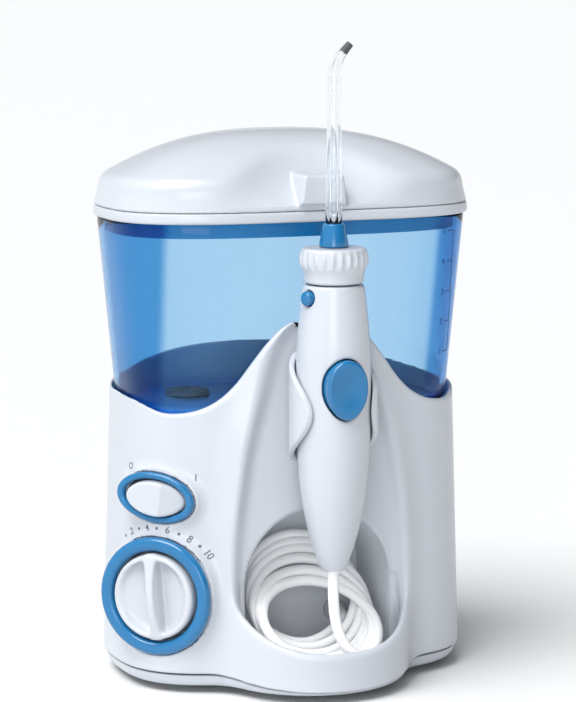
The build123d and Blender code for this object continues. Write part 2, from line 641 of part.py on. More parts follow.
# ---------------------------------------------------------------- pressure dial
with BuildPart() as dial_ring:
    with BuildSketch(control_plane(DIAL_Z)):
        Circle(DIAL_RING_R)
        Circle(DIAL_BORE_R, mode=Mode.SUBTRACT)
    extrude(amount=4.6)
    fillet(dial_ring.edges().sort_by(Axis((0, 0, 0), control_plane(0).z_dir))[-2:], 1.6)
dial_ring.part.label = "dial_ring"
export_step(dial_ring.part, "parts/dial_ring.step")

with BuildPart() as dial_knob:
    # a cup with a grip bar across it, and a shallow hollow on each side of the bar
    with BuildSketch(control_plane(DIAL_Z, -7.2)):
        Circle(DIAL_KNOB_R)
    extrude(amount=13.0)
    fillet(dial_knob.edges().sort_by(Axis((0, 0, 0), control_plane(0).z_dir))[-1], 1.6)
    with BuildSketch(control_plane(DIAL_Z, 7.5)):
        for side in (-1, 1):
            with Locations((side * 8.9, 0)):
                Ellipse(6.6, 12.6)
    extrude(amount=-6.0, mode=Mode.SUBTRACT)
    with BuildSketch(control_plane(DIAL_Z, 5.8)):
        SlotOverall(31.0, 4.6, rotation=90)
    extrude(amount=3.0)
    with BuildSketch(control_plane(DIAL_Z, -7.2)):
        Circle(4.0)
    extrude(amount=-22.0)
dial_knob.part.label = "dial_knob"
export_step(dial_knob.part, "parts/dial_knob.step")

with BuildPart() as bypass_valve:
    # the valve that the dial's shaft turns inside
    with BuildSketch(control_plane(DIAL_Z, -16.0)):
        Circle(7.4)
        Circle(4.1, mode=Mode.SUBTRACT)
    extrude(amount=-14.5)
    with BuildSketch(control_plane(DIAL_Z, -30.5)):
        Circle(7.4)
    extrude(amount=-1.6)
bypass_valve.part.label = "bypass_valve"
export_step(bypass_valve.part, "parts/bypass_valve.step")

# ---------------------------------------------------------------- power switch
def across_switch(depth):
    """The plane square to the switch's short way: +X along the switch, +Z up its short way."""
    flat = control_plane(SWITCH_Z, depth)
    roll = radians(CONTROL_ROLL)
    along = flat.x_dir * cos(roll) + flat.y_dir * sin(roll)
    return Plane(origin=flat.origin, x_dir=along, z_dir=flat.z_dir.cross(along))


with BuildPart() as switch_ring:
    with BuildSketch(control_plane(SWITCH_Z)):
        Ellipse(SWITCH_HALF[0], SWITCH_HALF[1], rotation=CONTROL_ROLL)
        Ellipse(SWITCH_BORE[0], SWITCH_BORE[1], rotation=CONTROL_ROLL, mode=Mode.SUBTRACT)
    extrude(amount=3.2)
switch_ring.part.label = "switch_ring"
export_step(switch_ring.part, "parts/switch_ring.step")

with BuildPart() as rocker:
    with BuildSketch(control_plane(SWITCH_Z, -3.4)):
        Ellipse(SWITCH_BORE[0] - 1.7, SWITCH_BORE[1] - 0.5, rotation=CONTROL_ROLL)
    extrude(amount=8.4)
    # the half that is pressed in slopes away
    with BuildSketch(across_switch(5.0)):
        with BuildLine():
            Polyline((3.5, -0.2), (16, -0.2), (16, 3.6), (3.5, -0.2))
        make_face()
    extrude(amount=12, both=True, mode=Mode.SUBTRACT)
    with BuildSketch(across_switch(ROCKER_PIVOT)):
        Circle(3.2)
        Circle(ROCKER_PIN_R + 0.05, mode=Mode.SUBTRACT)
    extrude(amount=4.5, both=True)
    with BuildSketch(across_switch(ROCKER_PIVOT)):
        Circle(ROCKER_PIN_R + 0.05)
    extrude(amount=8, both=True, mode=Mode.SUBTRACT)
rocker.part.label = "rocker"
export_step(rocker.part, "parts/rocker.step")

with BuildPart() as rocker_pin:
    with BuildSketch(across_switch(ROCKER_PIVOT)):
        Circle(ROCKER_PIN_R)
    extrude(amount=6.9, both=True)
rocker_pin.part.label = "rocker_pin"
export_step(rocker_pin.part, "parts/rocker_pin.step")

with BuildPart() as switch_body:
    # the contact block behind the panel
    with BuildSketch(control_plane(SWITCH_Z, -10.2)):
        Rectangle(25, 14, rotation=CONTROL_ROLL)
    extrude(amount=-12)
    with BuildSketch(control_plane(SWITCH_Z, -22.2)):
        for along in (-8, 0, 8):
            with Locations(Location((along, 0), CONTROL_ROLL)):
                Rectangle(0.9, 5)
    extrude(amount=-6)
switch_body.part.label = "switch_body"
export_step(switch_body.part, "parts/switch_body.step")

# ---------------------------------------------------------------- water tank
with BuildPart() as tank:
    add(plan_loft((TANK_LOW, TANK_LOW_Z), (TANK_HIGH, TANK_HIGH_Z)))
    fillet(tank.edges().group_by(Axis.Z)[0], 2.0)
    floor_z = TANK_LOW_Z + 2.2
    inside_low, inside_high = shrink(tank_size(floor_z), TANK_WALL), shrink(TANK_HIGH, TANK_WALL)
    add(plan_loft((inside_low, floor_z), (inside_high, TANK_HIGH_Z)), mode=Mode.SUBTRACT)
    with Locations((PORT_X, PORT_Y, TANK_LOW_Z)):
        Cylinder(6.2, 10, mode=Mode.SUBTRACT)
tank.part.label = "tank"
export_step(tank.part, "parts/tank.step")

with BuildPart() as tank_valve:
    # a rubber plug with a flange inside the tank and a spigot below it
    with BuildSketch(Plane.XZ.offset(-PORT_Y)):
        with BuildLine():
            Polyline((1.8, 103.6), (5.6, 103.6), (6.0, TANK_LOW_Z), (6.0, 113.6), (9.5, 113.6),
                     (9.0, 115.4), (4.0, 116.2), (1.8, 116.2), (1.8, 103.6))
        make_face()
    revolve(axis=Axis((0, PORT_Y, 0), (0, 0, 1)))
tank_valve.part.locate(Location((PORT_X, 0, 0)))
tank_valve.part.label = "tank_valve"
export_step(tank_valve.part, "parts/tank_valve.step")

with BuildPart() as tank_port:
    # the socket in the deck that the tank's spigot drops into
    with BuildSketch(Plane.XZ.offset(-PORT_Y)):
        with BuildLine():
            Polyline((6.3, 110.6), (9.0, 110.6), (9.0, 107.7), (12.0, 107.7), (12.0, 105.7),
                     (8.2, 105.7), (8.2, 98.0), (3.6, 98.0), (3.6, 90.0), (2.0, 90.0),
                     (2.0, 100.5), (6.3, 100.5), (6.3, 110.6))
        make_face()
    revolve(axis=Axis((0, PORT_Y, 0), (0, 0, 1)))
tank_port.part.locate(Location((PORT_X, 0, 0)))
tank_port.part.label = "tank_port"
export_step(tank_port.part, "parts/tank_port.step")

# ---------------------------------------------------------------- tip tray and lid
with BuildPart() as tip_tray:
    flange_low, flange_top = TANK_HIGH_Z + 0.2, TANK_HIGH_Z + 1.3
    pan = shrink(TANK_HIGH, TANK_WALL + 0.9)
    add(plan_loft(((75.0, 47.8, 52.2), flange_low), ((75.0, 47.8, 52.2), flange_top)))
    add(plan_loft((shrink(pan, 0.8), TRAY_FLOOR_Z), (pan, flange_low)))
    add(plan_loft((shrink(pan, 2.6), TRAY_FLOOR_Z + 1.6), (shrink(pan, 1.8), flange_top)), mode=Mode.SUBTRACT)
    # the slots that spare tips lie in
    for x in (-30, -15, 0, 15, 30):
        with Locations((x, 2, TRAY_FLOOR_Z + 1.6)):
            Box(1.4, 62, 3.2, align=(Align.CENTER, Align.CENTER, Align.MIN))
    # two hinge ears at the back
    for side in (-1, 1):
        with BuildSketch(Plane.YZ.offset(side * EAR_INNER)):
            with Locations((HINGE_Y, HINGE_Z)):
                Circle(EAR_R)
            with BuildLine():
                Polyline((50.5, flange_low), (HINGE_Y, HINGE_Z - EAR_R), (HINGE_Y, HINGE_Z),
                         (50.5, flange_top + 0.2), (50.5, flange_low))
            make_face()
            with Locations((HINGE_Y, HINGE_Z)):
                Circle(HINGE_PIN_R + 0.05, mode=Mode.SUBTRACT)
        extrude(amount=side * (EAR_OUTER - EAR_INNER))
tip_tray.part.label = "tip_tray"
export_step(tip_tray.part, "parts/tip_tray.step")

with BuildPart() as lid:
    add(plan_loft((LID_RIM, LID_LOW_Z), (LID_RIM, LID_RIM_Z)))
    add(plan_loft((shrink(LID_RIM, 0.5), LID_RIM_Z), (LID_WALL_TOP, LID_WALL_Z)))
    dome = [(LID_WALL_TOP, LID_WALL_Z), *LID_DOME]
    add(plan_loft(*dome, ruled=False))
    # hollow inside
    add(plan_loft((shrink(LID_RIM, 1.7), LID_LOW_Z), (shrink(LID_WALL_TOP, 2.0), LID_WALL_Z - 0.5)),
        mode=Mode.SUBTRACT)
    add(plan_loft(*[(shrink(size, 2.0), z - 2.0) for size, z in dome], ruled=False), mode=Mode.SUBTRACT)
    # gaps for the ears, and a knuckle outside each one
    for side in (-1, 1):
        with BuildSketch(Plane.YZ.offset(side * (EAR_INNER - 0.4))):
            with Locations((HINGE_Y, HINGE_Z)):
                Rectangle(16, 9.4)
        extrude(amount=side * (EAR_OUTER - EAR_INNER + 0.7), mode=Mode.SUBTRACT)
        with BuildSketch(Plane.YZ.offset(side * (EAR_OUTER + 0.3))):
            with Locations((HINGE_Y, HINGE_Z)):
                Circle(EAR_R)
            with BuildLine():
                Polyline((51.2, LID_RIM_Z + 4), (HINGE_Y + 1.5, LID_RIM_Z), (HINGE_Y, HINGE_Z),
                         (51.2, HINGE_Z), (51.2, LID_RIM_Z + 4))
            make_face()
            with Locations((HINGE_Y, HINGE_Z)):
                Circle(HINGE_PIN_R, mode=Mode.SUBTRACT)
        extrude(amount=side * (KNUCKLE_OUTER - EAR_OUTER - 0.3))
lid.part.label = "lid"
export_step(lid.part, "parts/lid.step")

with BuildPart() as hinge_pins:
    for side in (-1, 1):
        with BuildSketch(Plane.YZ.offset(side * (EAR_INNER + 0.6))):
            with Locations((HINGE_Y, HINGE_Z)):
                Circle(HINGE_PIN_R)
        extrude(amount=side * (KNUCKLE_OUTER - EAR_INNER - 1))
hinge_pins.part.label = "hinge_pins"
export_step(hinge_pins.part, "parts/hinge_pins.step")

# ---------------------------------------------------------------- motor, gears and pump
with BuildPart() as cord_inlet:
    # the grommet of the mains lead in the back wall
    with BuildSketch(Plane.XZ.offset(-INLET_Y)):
        with Locations((0, INLET_Z)):
            Circle(7.0)
            Circle(2.8, mode=Mode.SUBTRACT)
    extrude(amount=-2.0)
    with BuildSketch(Plane.XZ.offset(-INLET_Y)):
        with Locations((0, INLET_Z)):
            Circle(INLET_R - 0.1)
            Circle(2.8, mode=Mode.SUBTRACT)
    extrude(amount=6.5)
cord_inlet.part.label = "cord_inlet"
export_step(cord_inlet.part, "parts/cord_inlet.step")

with BuildPart() as pump_frame:
    with BuildSketch(Plane.XY.offset(FRAME_Z)):
        with Locations((-2, 21)):
            RectangleRounded(104, 44, 20)
        with Locations(*MOTOR_POSTS):
            Circle(4)
        with Locations((GEAR_X, GEAR_Y)):
            Circle(2.0, mode=Mode.SUBTRACT)
    extrude(amount=FRAME_T)
    with BuildSketch(Plane.XY.offset(SKIRT_TOP_Z)):
        with Locations(*FRAME_LEGS):
            Circle(3.4)
    extrude(amount=FRAME_Z - SKIRT_TOP_Z)
    with BuildSketch(Plane.XY.offset(FRAME_Z + FRAME_T)):
        with Locations(*MOTOR_POSTS):
            Circle(2.4)
    extrude(amount=BRACKET_Z - FRAME_Z - FRAME_T)
    # the saddle under the pump cylinder
    with Locations((CYLINDER_ENDS[0] - 16, GEAR_Y, FRAME_Z + FRAME_T)):
        saddle = PISTON_Z - CYLINDER_R - FRAME_Z - FRAME_T + 2
        Box(26, 13, saddle, align=(Align.CENTER, Align.CENTER, Align.MIN))
    with BuildSketch(Plane.YZ.offset(CYLINDER_ENDS[0])):
        with Locations((GEAR_Y, PISTON_Z)):
            Circle(CYLINDER_R)
    extrude(amount=-40, mode=Mode.SUBTRACT)
pump_frame.part.label = "pump_frame"
export_step(pump_frame.part, "parts/pump_frame.step")

with BuildPart() as motor_bracket:
    with BuildSketch(Plane.XY.offset(BRACKET_Z)):
        make_hull([*[Edge.make_circle(4, Plane((x, y, 0))) for x, y in MOTOR_POSTS]])
        with Locations((MOTOR_X, GEAR_Y)):
            Circle(5, mode=Mode.SUBTRACT)
    extrude(amount=MOTOR_LOW_Z - BRACKET_Z)
motor_bracket.part.label = "motor_bracket"
export_step(motor_bracket.part, "parts/motor_bracket.step")

with BuildPart() as motor_can:
    with Locations((MOTOR_X, GEAR_Y, MOTOR_LOW_Z)):
        Cylinder(17.5, MOTOR_H, align=(Align.CENTER, Align.CENTER, Align.MIN))
    fillet(motor_can.edges(), 1.5)
    with Locations((MOTOR_X, GEAR_Y, MOTOR_LOW_Z + MOTOR_H)):
        Cylinder(6, 3, align=(Align.CENTER, Align.CENTER, Align.MIN))
        with GridLocations(22, 0, 2, 1):
            Box(0.8, 4, 5, align=(Align.CENTER, Align.CENTER, Align.MIN))
    with Locations((MOTOR_X, GEAR_Y, MOTOR_LOW_Z - 2.2)):
        Cylinder(4.9, 3.0, align=(Align.CENTER, Align.CENTER, Align.MIN))
        Cylinder(1.5, 12.0, align=(Align.CENTER, Align.CENTER, Align.MIN), mode=Mode.SUBTRACT)
motor_can.part.label = "motor_can"
export_step(motor_can.part, "parts/motor_can.step")


def toothed_disc(teeth, turn=0.0):
    """The flat face of a gear wheel about the origin, its first tooth turned by so many degrees."""
    pitch_r = GEAR_MODULE * teeth / 2
    root_r, tip_r = pitch_r - 0.9, pitch_r + 0.6
    with BuildSketch() as disc:
        Circle(root_r)
        with PolarLocations(0, teeth, start_angle=turn):
            Polygon((root_r - 0.3, -0.62), (pitch_r, -0.46), (tip_r, -0.24), (tip_r, 0.24), (pitch_r, 0.46),
                    (root_r - 0.3, 0.62), align=None)
    return disc.sketch


with BuildPart() as motor_pinion:
    with BuildSketch(Plane.XY.offset(GEAR_Z - 0.5)):
        with Locations((MOTOR_X, GEAR_Y)):
            add(toothed_disc(PINION_TEETH, 180 / PINION_TEETH))
    extrude(amount=GEAR_THICK + 1)
    with BuildSketch(Plane.XY.offset(GEAR_Z - 0.5)):
        with Locations((MOTOR_X, GEAR_Y)):
            Circle(1.4)
    extrude(amount=MOTOR_LOW_Z + 6 - GEAR_Z)
motor_pinion.part.label = "motor_pinion"
export_step(motor_pinion.part, "parts/motor_pinion.step")

with BuildPart() as gear_axle:
    with BuildSketch(Plane.XY.offset(FRAME_Z)):
        with Locations((GEAR_X, GEAR_Y)):
            Circle(2.0)
    extrude(amount=PISTON_Z + 5.5 - FRAME_Z)
gear_axle.part.label = "gear_axle"
export_step(gear_axle.part, "parts/gear_axle.step")

with BuildPart() as drive_gear:
    with BuildSketch(Plane.XY.offset(GEAR_Z)):
        with Locations((GEAR_X, GEAR_Y)):
            add(toothed_disc(GEAR_TEETH))
            with PolarLocations(12.5, 6):
                Circle(3.6, mode=Mode.SUBTRACT)
    extrude(amount=GEAR_THICK)
    with BuildSketch(Plane.XY.offset(GEAR_Z - 2)):
        with Locations((GEAR_X, GEAR_Y)):
            Circle(4)
    extrude(amount=2)
    # the crank is a round boss set off the wheel's centre
    with BuildSketch(Plane.XY.offset(GEAR_Z + GEAR_THICK)):
        with Locations((GEAR_X + CRANK_THROW, GEAR_Y)):
            Circle(CRANK_R)
    extrude(amount=10.5)
    with Locations((GEAR_X, GEAR_Y, GEAR_Z - 3)):
        Cylinder(2.05, 40, align=(Align.CENTER, Align.CENTER, Align.MIN), mode=Mode.SUBTRACT)
drive_gear.part.label = "drive_gear"
export_step(drive_gear.part, "parts/drive_gear.step")

with BuildPart() as plunger:
    with BuildSketch(Plane.XY.offset(PISTON_Z - 3.2)):
        with Locations((GEAR_X, GEAR_Y)):
            Circle(RING_R + 2.6)
            Circle(RING_R, mode=Mode.SUBTRACT)
    extrude(amount=6.4)
    with BuildSketch(Plane.YZ.offset(GEAR_X - RING_R - 1.4)):
        with Locations((GEAR_Y, PISTON_Z)):
            Circle(2.4)
    extrude(amount=-16)
    with BuildSketch(Plane.YZ.offset(CYLINDER_ENDS[0] - 3)):
        with Locations((GEAR_Y, PISTON_Z)):
            Circle(PISTON_R)
    extrude(amount=-10)
plunger.part.label = "plunger"
export_step(plunger.part, "parts/plunger.step")

with BuildPart() as pump_cylinder:
    with BuildSketch(Plane.YZ.offset(CYLINDER_ENDS[0])):
        with Locations((GEAR_Y, PISTON_Z)):
            Circle(CYLINDER_R)
    extrude(amount=CYLINDER_ENDS[1] - CYLINDER_ENDS[0])
    with BuildSketch(Plane.YZ.offset(CYLINDER_ENDS[0])):
        with Locations((GEAR_Y, PISTON_Z)):
            Circle(5.0)
    extrude(amount=CYLINDER_ENDS[1] - CYLINDER_ENDS[0] + 4, mode=Mode.SUBTRACT)
    # stubs for the feed tube on top and the pressure tube on the side
    with BuildSketch(Plane.XY.offset(PISTON_Z + 4.5)):
        with Locations((STUB_X, GEAR_Y)):
            Circle(3.4)
    extrude(amount=7)
    with BuildSketch(Plane.XZ.offset(-GEAR_Y + 4.5)):
        with Locations((STUB_X, PISTON_Z)):
            Circle(3.4)
    extrude(amount=6)
pump_cylinder.part.label = "pump_cylinder"
export_step(pump_cylinder.part, "parts/pump_cylinder.step")

with BuildPart() as feed_tube:
    add(round_tube(((PORT_X, PORT_Y, 90), (PORT_X, PORT_Y, 78), (STUB_X, GEAR_Y, 67),
                    (STUB_X, GEAR_Y, PISTON_Z + 11.5)), INNER_TUBE_R))
feed_tube.part.label = "feed_tube"
export_step(feed_tube.part, "parts/feed_tube.step")

with BuildPart() as bypass_tube:
    valve_back = control_plane(DIAL_Z, -32.1)
    leaving = valve_back.origin - valve_back.z_dir * 9
    add(round_tube(((STUB_X, GEAR_Y - 10.5, PISTON_Z), (STUB_X, 3, PISTON_Z), tuple(leaving),
                    tuple(valve_back.origin)), INNER_TUBE_R))
bypass_tube.part.label = "bypass_tube"
export_step(bypass_tube.part, "parts/bypass_tube.step")

with BuildPart() as delivery_tube:
    side = control_plane(DIAL_Z, -23.0).origin
    add(round_tube(((side.X, side.Y, DIAL_Z - 7.0), (side.X, side.Y, 21), (-38, -4, 16), (-12, -3, 18),
                    (15.5, -0.7, 21.5)), INNER_TUBE_R))
delivery_tube.part.label = "delivery_tube"
export_step(delivery_tube.part, "parts/delivery_tube.step")

with BuildPart() as hose_elbow:
    # the block behind the hose bay that joins the delivery tube to the hose
    with Locations((HOSE_TAIL[0][0], -0.7, 22)):
        Box(11, 6.6, 7)
    fillet(hose_elbow.edges().filter_by(Axis.Y), 1.5)
hose_elbow.part.label = "hose_elbow"
export_step(hose_elbow.part, "parts/hose_elbow.step")

with BuildPart() as power_board:
    # the circuit board on spacers beside the hose bay, with its taller components
    with Locations((BOARD_X, -29, 47)):
        Box(1.6, 26, 36)
    with Locations((BOARD_X + 0.8, -29, 56)):
        Box(12, 15, 14, align=(Align.MIN, Align.CENTER, Align.CENTER))
    for z in (35, 43):
        with BuildSketch(Plane.YZ.offset(BOARD_X + 0.8)):
            with Locations((-34, z)):
                Circle(3.4)
        extrude(amount=9)
    with BuildSketch(Plane.YZ.offset(BOARD_X - 0.8)):
        with Locations((-39, 33), (-19, 33), (-39, 61), (-19, 61)):
            Circle(2.2)
    extrude(amount=-(BOARD_X - 0.8 - BAY_HALF - 2))
power_board.part.label = "power_board"
export_step(power_board.part, "parts/power_board.step")
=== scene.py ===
import json
from math import cos, pi, radians, sin

import bpy
import numpy as np
from mathutils import Matrix, Vector
from mathutils.bvhtree import BVHTree


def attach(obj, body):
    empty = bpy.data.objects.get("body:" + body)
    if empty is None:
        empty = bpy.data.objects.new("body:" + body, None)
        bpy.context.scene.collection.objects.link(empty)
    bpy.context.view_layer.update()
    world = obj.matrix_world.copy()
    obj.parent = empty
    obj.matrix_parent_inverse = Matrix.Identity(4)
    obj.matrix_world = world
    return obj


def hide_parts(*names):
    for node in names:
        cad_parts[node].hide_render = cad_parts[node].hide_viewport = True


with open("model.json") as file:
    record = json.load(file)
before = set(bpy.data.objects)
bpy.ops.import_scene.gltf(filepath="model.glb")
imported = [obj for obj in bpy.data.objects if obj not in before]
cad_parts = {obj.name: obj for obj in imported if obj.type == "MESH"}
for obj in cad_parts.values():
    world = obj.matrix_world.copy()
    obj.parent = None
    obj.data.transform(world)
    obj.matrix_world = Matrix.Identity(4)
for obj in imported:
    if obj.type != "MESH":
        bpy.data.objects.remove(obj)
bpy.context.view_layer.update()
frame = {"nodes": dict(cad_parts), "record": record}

# Countertop water flosser. The shaped pieces are worked out in millimetres and scaled to metres.
MM = 0.001

# ---------------------------------------------------------------- driving dimensions
FRONT_POWER, BACK_POWER = 3.2, 2.1
BODY_LOW, BODY_LOW_Z = (74.5, 51.0, 55.0), 8.8
BODY_HIGH, BODY_HIGH_Z = (69.8, 49.3, 52.8), 160.0
SKIRT_LOW, SKIRT_LOW_Z = (72.0, 48.5, 52.5), 3.0
TANK_LOW, TANK_LOW_Z = (68.4, 45.0, 49.3), 111.2
TANK_HIGH, TANK_HIGH_Z = (76.0, 49.0, 54.0), 190.2
WALL, TANK_WALL, LID_WALL = 2.6, 2.0, 2.0
GROOVE_Z = 8.5
LOBE_Y = -37.0
LOBE_Z = (8.8, 26.0, 45.0, 80.0, 119.0, 152.0)
LOBE_HALF = (42.0, 42.0, 41.5, 40.0, 35.0, 24.0)
LOBE_DEPTH = (42.0, 42.0, 36.0, 30.0, 20.5, 13.5)
RECESS_Y = -48.4
SCOOP_Z = (47.0, 57.0, 80.0, 97.0, 119.0, 140.0, 158.0)
SCOOP_HALF = (36.8, 36.6, 34.3, 31.7, 26.0, 19.5, 9.0)
SCOOP_FOOT, SCOOP_POWER = 26.0, 2.6
BASIN_R, BASIN_NARROWING, BASIN_BACK_Y, BASIN_Z = 38.8, 3.8, -49.0, (10.5, 44.0)
BAY_HALF, BAY_Z, BAY_FLOOR_Z = 31.0, 43.0, 11.0
MOUTH_Y = (-52.0, -45.0)
LINER_WALL, LINER_FLOOR_Z, LINER_Y = 2.15, 5.0, (-45.9, -9.9)
WELL_GAP, DECK_Z = 0.9, 111.0
PORT_X, PORT_Y, PORT_R = -35.0, 15.0, 9.2
INLET_Z, INLET_R = 20.0, 5.2
WAVE_X = (0, 9, 16, 22, 28.5, 34, 40, 47, 55, 62, 71, 80)
WAVE_Z = (154, 152.3, 148.5, 142.7, 134.5, 127.2, 121.2, 117, 114.8, 114.8, 120, 125)
BACK_X, BACK_Z = (0, 25, 48, 71, 80), (130, 129, 125.8, 120, 118)
HANDLE_Y = -65.0
CRADLE_FRONT_Y, CRADLE_Z, CRADLE_R = -75.0, 117.0, (15.5, 17.7)
HANDLE_Z = (52.0, 56.5, 66.0, 78.0, 95.0, 121.0, 146.0, 167.4)
HANDLE_R = (4.6, 6.6, 9.6, 12.2, 14.1, 14.9, 14.4, 12.2)
SLEEVE_R, SLEEVE_TOP_Z = 8.0, 176.4
COLLAR_LOW_Z, COLLAR_TOP_Z, FLUTES = 168.0, 182.0, 24
COLLAR_Z, COLLAR_R = (168.0, 171.0, 173.5, 175.6, 179.2, 182.0), (11.9, 12.0, 12.7, 13.6, 13.6, 12.5)
FLUTE_AT_R, FLUTE_R = 14.5, 1.45
PAUSE_OUTLINE = ((0, -12), (2.6, -11.2), (6.3, -7.4), (8.5, 0.96), (6.3, 8.4), (2.6, 11.4), (0, 12))
CONE_PROFILE = ((0.9, 156), (2.9, 156), (3.1, 182.3), (5.9, 182.3), (5.7, 184.2), (4.2, 191.4),
                (0.9, 191.4))
# the clear shaft leans over near its top: z, x, lean in degrees, radius
SHAFT_PATH = ((191.5, 0, 0, 3.3), (220, 0, 0, 3.0), (243, 0, 0, 2.78), (248, 0, 0, 2.74),
              (250, 0.02, 3, 2.7), (253.6, 0.7, 20, 2.5), (256.4, 2.1, 34, 2.15), (258.3, 3.6, 42, 1.75))
SHAFT_BEND_Z, SHAFT_BORE_SHARE = 250.0, 0.42
CONTROL_TURN, CONTROL_ROLL = 43.0, -7.0
CONTROL_FACE = (-63.76, -34.27)
DIAL_Z, SWITCH_Z = 40.2, 80.5
RING_R, BORE_R, KNOB_R = 24.2, 18.5, 17.9
SWITCH_HALF, SWITCH_BORE = (17.0, 10.2), (13.6, 7.4)
PAUSE_Z, EJECT_Z, EJECT_TURN = 127.0, 162.5, 73.0
ROCKER_LEAN = 0.08
HINGE_Y, HINGE_Z = 57.0, 193.6
HINGE_R, PIN_R = 2.9, 1.5
LID_Z, LID_HALF = (190.0, 193.5, 197.0, 200.4, 205.0, 226.0), (77.4, 77.4, 76.7, 75.9, 75.2, 71.0)
LID_SHOULDER_Z, LID_RISE, LID_CROWN, LID_POWER = 208.7, 16.3, 0.96, 2.7
VALLEY_LIP_Y, VALLEY_DEPTH, VALLEY_HALF = -50.5, 21.0, 39.0
LID_SEAM_Z, LID_RIM_Z = 194.95, 192.7
HOSE_R = 2.2
HOSE_RUN = ((0, -65.0, 52.0), (0, -65.0, 42.0), (0.6, -65.8, 30.5), (3.8, -68.6, 20.2))
COIL_TURNS, COIL_POINTS_PER_TURN, COIL_R = 6, 14, 24.6
COIL_Y, COIL_Z, COIL_LEAN = (-51.5, -26.5), (26.4, 37.4), (59.0, 20.0)
HOSE_TAIL = ((18.2, -28.8, 21.0), (21.0, -23.5, 23.0), (21.0, -17.0, 23.0))


# ---------------------------------------------------------------- materials
# painted shade: the deeper tint laid on the tank's left and right front ends
PAINTED_END_SHADE = (0.18, 0.50, 0.76)


def node_tree(name):
    material = bpy.data.materials.new(name)
    material.use_nodes = True
    nodes, links = material.node_tree.nodes, material.node_tree.links
    return material, nodes, links, nodes["Principled BSDF"]


def noise(nodes, links, scale, detail=3.0):
    place = nodes.new("ShaderNodeTexCoord")
    texture = nodes.new("ShaderNodeTexNoise")
    texture.inputs["Scale"].default_value = scale
    texture.inputs["Detail"].default_value = detail
    links.new(place.outputs["Object"], texture.inputs["Vector"])
    return texture.outputs["Fac"]


def spread(nodes, links, value, low, high):
    """value, from 0.3 to 0.7, drawn out to the range low to high."""
    rows = nodes.new("ShaderNodeMapRange")
    for socket, number in zip(("From Min", "From Max", "To Min", "To Max"), (0.3, 0.7, low, high)):
        rows.inputs[socket].default_value = number
    links.new(value, rows.inputs["Value"])
    return rows.outputs["Result"]


def moulded_look(name, colour, other, rough, grain=900.0, bump=0.02, coat=0.0):
    """Moulded plastic or rubber: a faint drift of colour and gloss, and a fine grain."""
    material, nodes, links, shader = node_tree(name)
    mix = nodes.new("ShaderNodeMix")
    mix.data_type = "RGBA"
    mix.inputs["A"].default_value = (*colour, 1)
    mix.inputs["B"].default_value = (*other, 1)
    links.new(noise(nodes, links, 35.0), mix.inputs["Factor"])
    links.new(mix.outputs["Result"], shader.inputs["Base Color"])
    links.new(spread(nodes, links, noise(nodes, links, 160.0), *rough), shader.inputs["Roughness"])
    if bump:
        relief = nodes.new("ShaderNodeBump")
        relief.inputs["Strength"].default_value = bump
        relief.inputs["Distance"].default_value = 0.0002
        links.new(noise(nodes, links, grain, 2.0), relief.inputs["Height"])
        links.new(relief.outputs["Normal"], shader.inputs["Normal"])
    shader.inputs["Coat Weight"].default_value = coat
    shader.inputs["Coat Roughness"].default_value = 0.08
    return material


def step_between(nodes, links, value, low, high):
    """0 where value is at low and 1 where it is at high."""
    rows = nodes.new("ShaderNodeMapRange")
    rows.interpolation_type = "SMOOTHSTEP"
    rows.inputs["From Min"].default_value, rows.inputs["From Max"].default_value = low, high
    links.new(value, rows.inputs["Value"])
    return rows.outputs["Result"]


def combined(nodes, links, how, a, b):
    maths = nodes.new("ShaderNodeMath")
    maths.operation = how
    links.new(a, maths.inputs[0])
    links.new(b, maths.inputs[1])
    return maths.outputs["Value"]


def paint_shade_at_ends(nodes, links, shader, tint):
    """Painted shade: the tank's tint is made deeper towards its left and right ends, on its front half."""
    place = nodes.new("ShaderNodeTexCoord")
    parts = nodes.new("ShaderNodeSeparateXYZ")
    links.new(place.outputs["Object"], parts.inputs["Vector"])
    left = step_between(nodes, links, parts.outputs["X"], -0.0590, -0.0630)
    right = step_between(nodes, links, parts.outputs["X"], 0.050, 0.066)
    front = step_between(nodes, links, parts.outputs["Y"], 0.004, -0.004)
    either = combined(nodes, links, "MULTIPLY", combined(nodes, links, "ADD", left, right), front)
    mix = nodes.new("ShaderNodeMix")
    mix.data_type = "RGBA"
    mix.inputs["A"].default_value = (*tint, 1)
    mix.inputs["B"].default_value = (*PAINTED_END_SHADE, 1)
    links.new(either, mix.inputs["Factor"])
    links.new(mix.outputs["Result"], shader.inputs["Base Color"])


def clear_look(name, tint, density, absorbed, ior=1.45, ends=False):
    """Clear moulded plastic, coloured in its depth."""
    material, nodes, links, shader = node_tree(name)
    shader.inputs["Base Color"].default_value = (*tint, 1)
    # painted shade: with ends, the tint deepens towards the tank's left and right front ends
    if ends:
        paint_shade_at_ends(nodes, links, shader, tint)
    shader.inputs["Transmission Weight"].default_value = 1.0
    shader.inputs["IOR"].default_value = ior
    links.new(spread(nodes, links, noise(nodes, links, 60.0), 0.0, 0.02), shader.inputs["Roughness"])
    # lamps light what is inside: a shadow ray goes straight through
    ray, through = nodes.new("ShaderNodeLightPath"), nodes.new("ShaderNodeBsdfTransparent")
    mix = nodes.new("ShaderNodeMixShader")
    links.new(ray.outputs["Is Shadow Ray"], mix.inputs["Fac"])
    links.new(shader.outputs["BSDF"], mix.inputs[1])
    links.new(through.outputs["BSDF"], mix.inputs[2])
    links.new(mix.outputs["Shader"], nodes["Material Output"].inputs["Surface"])
    depth = nodes.new("ShaderNodeVolumeAbsorption")
    depth.inputs["Color"].default_value = (*absorbed, 1)
    depth.inputs["Density"].default_value = density
    links.new(depth.outputs["Volume"], nodes["Material Output"].inputs["Volume"])
    return material


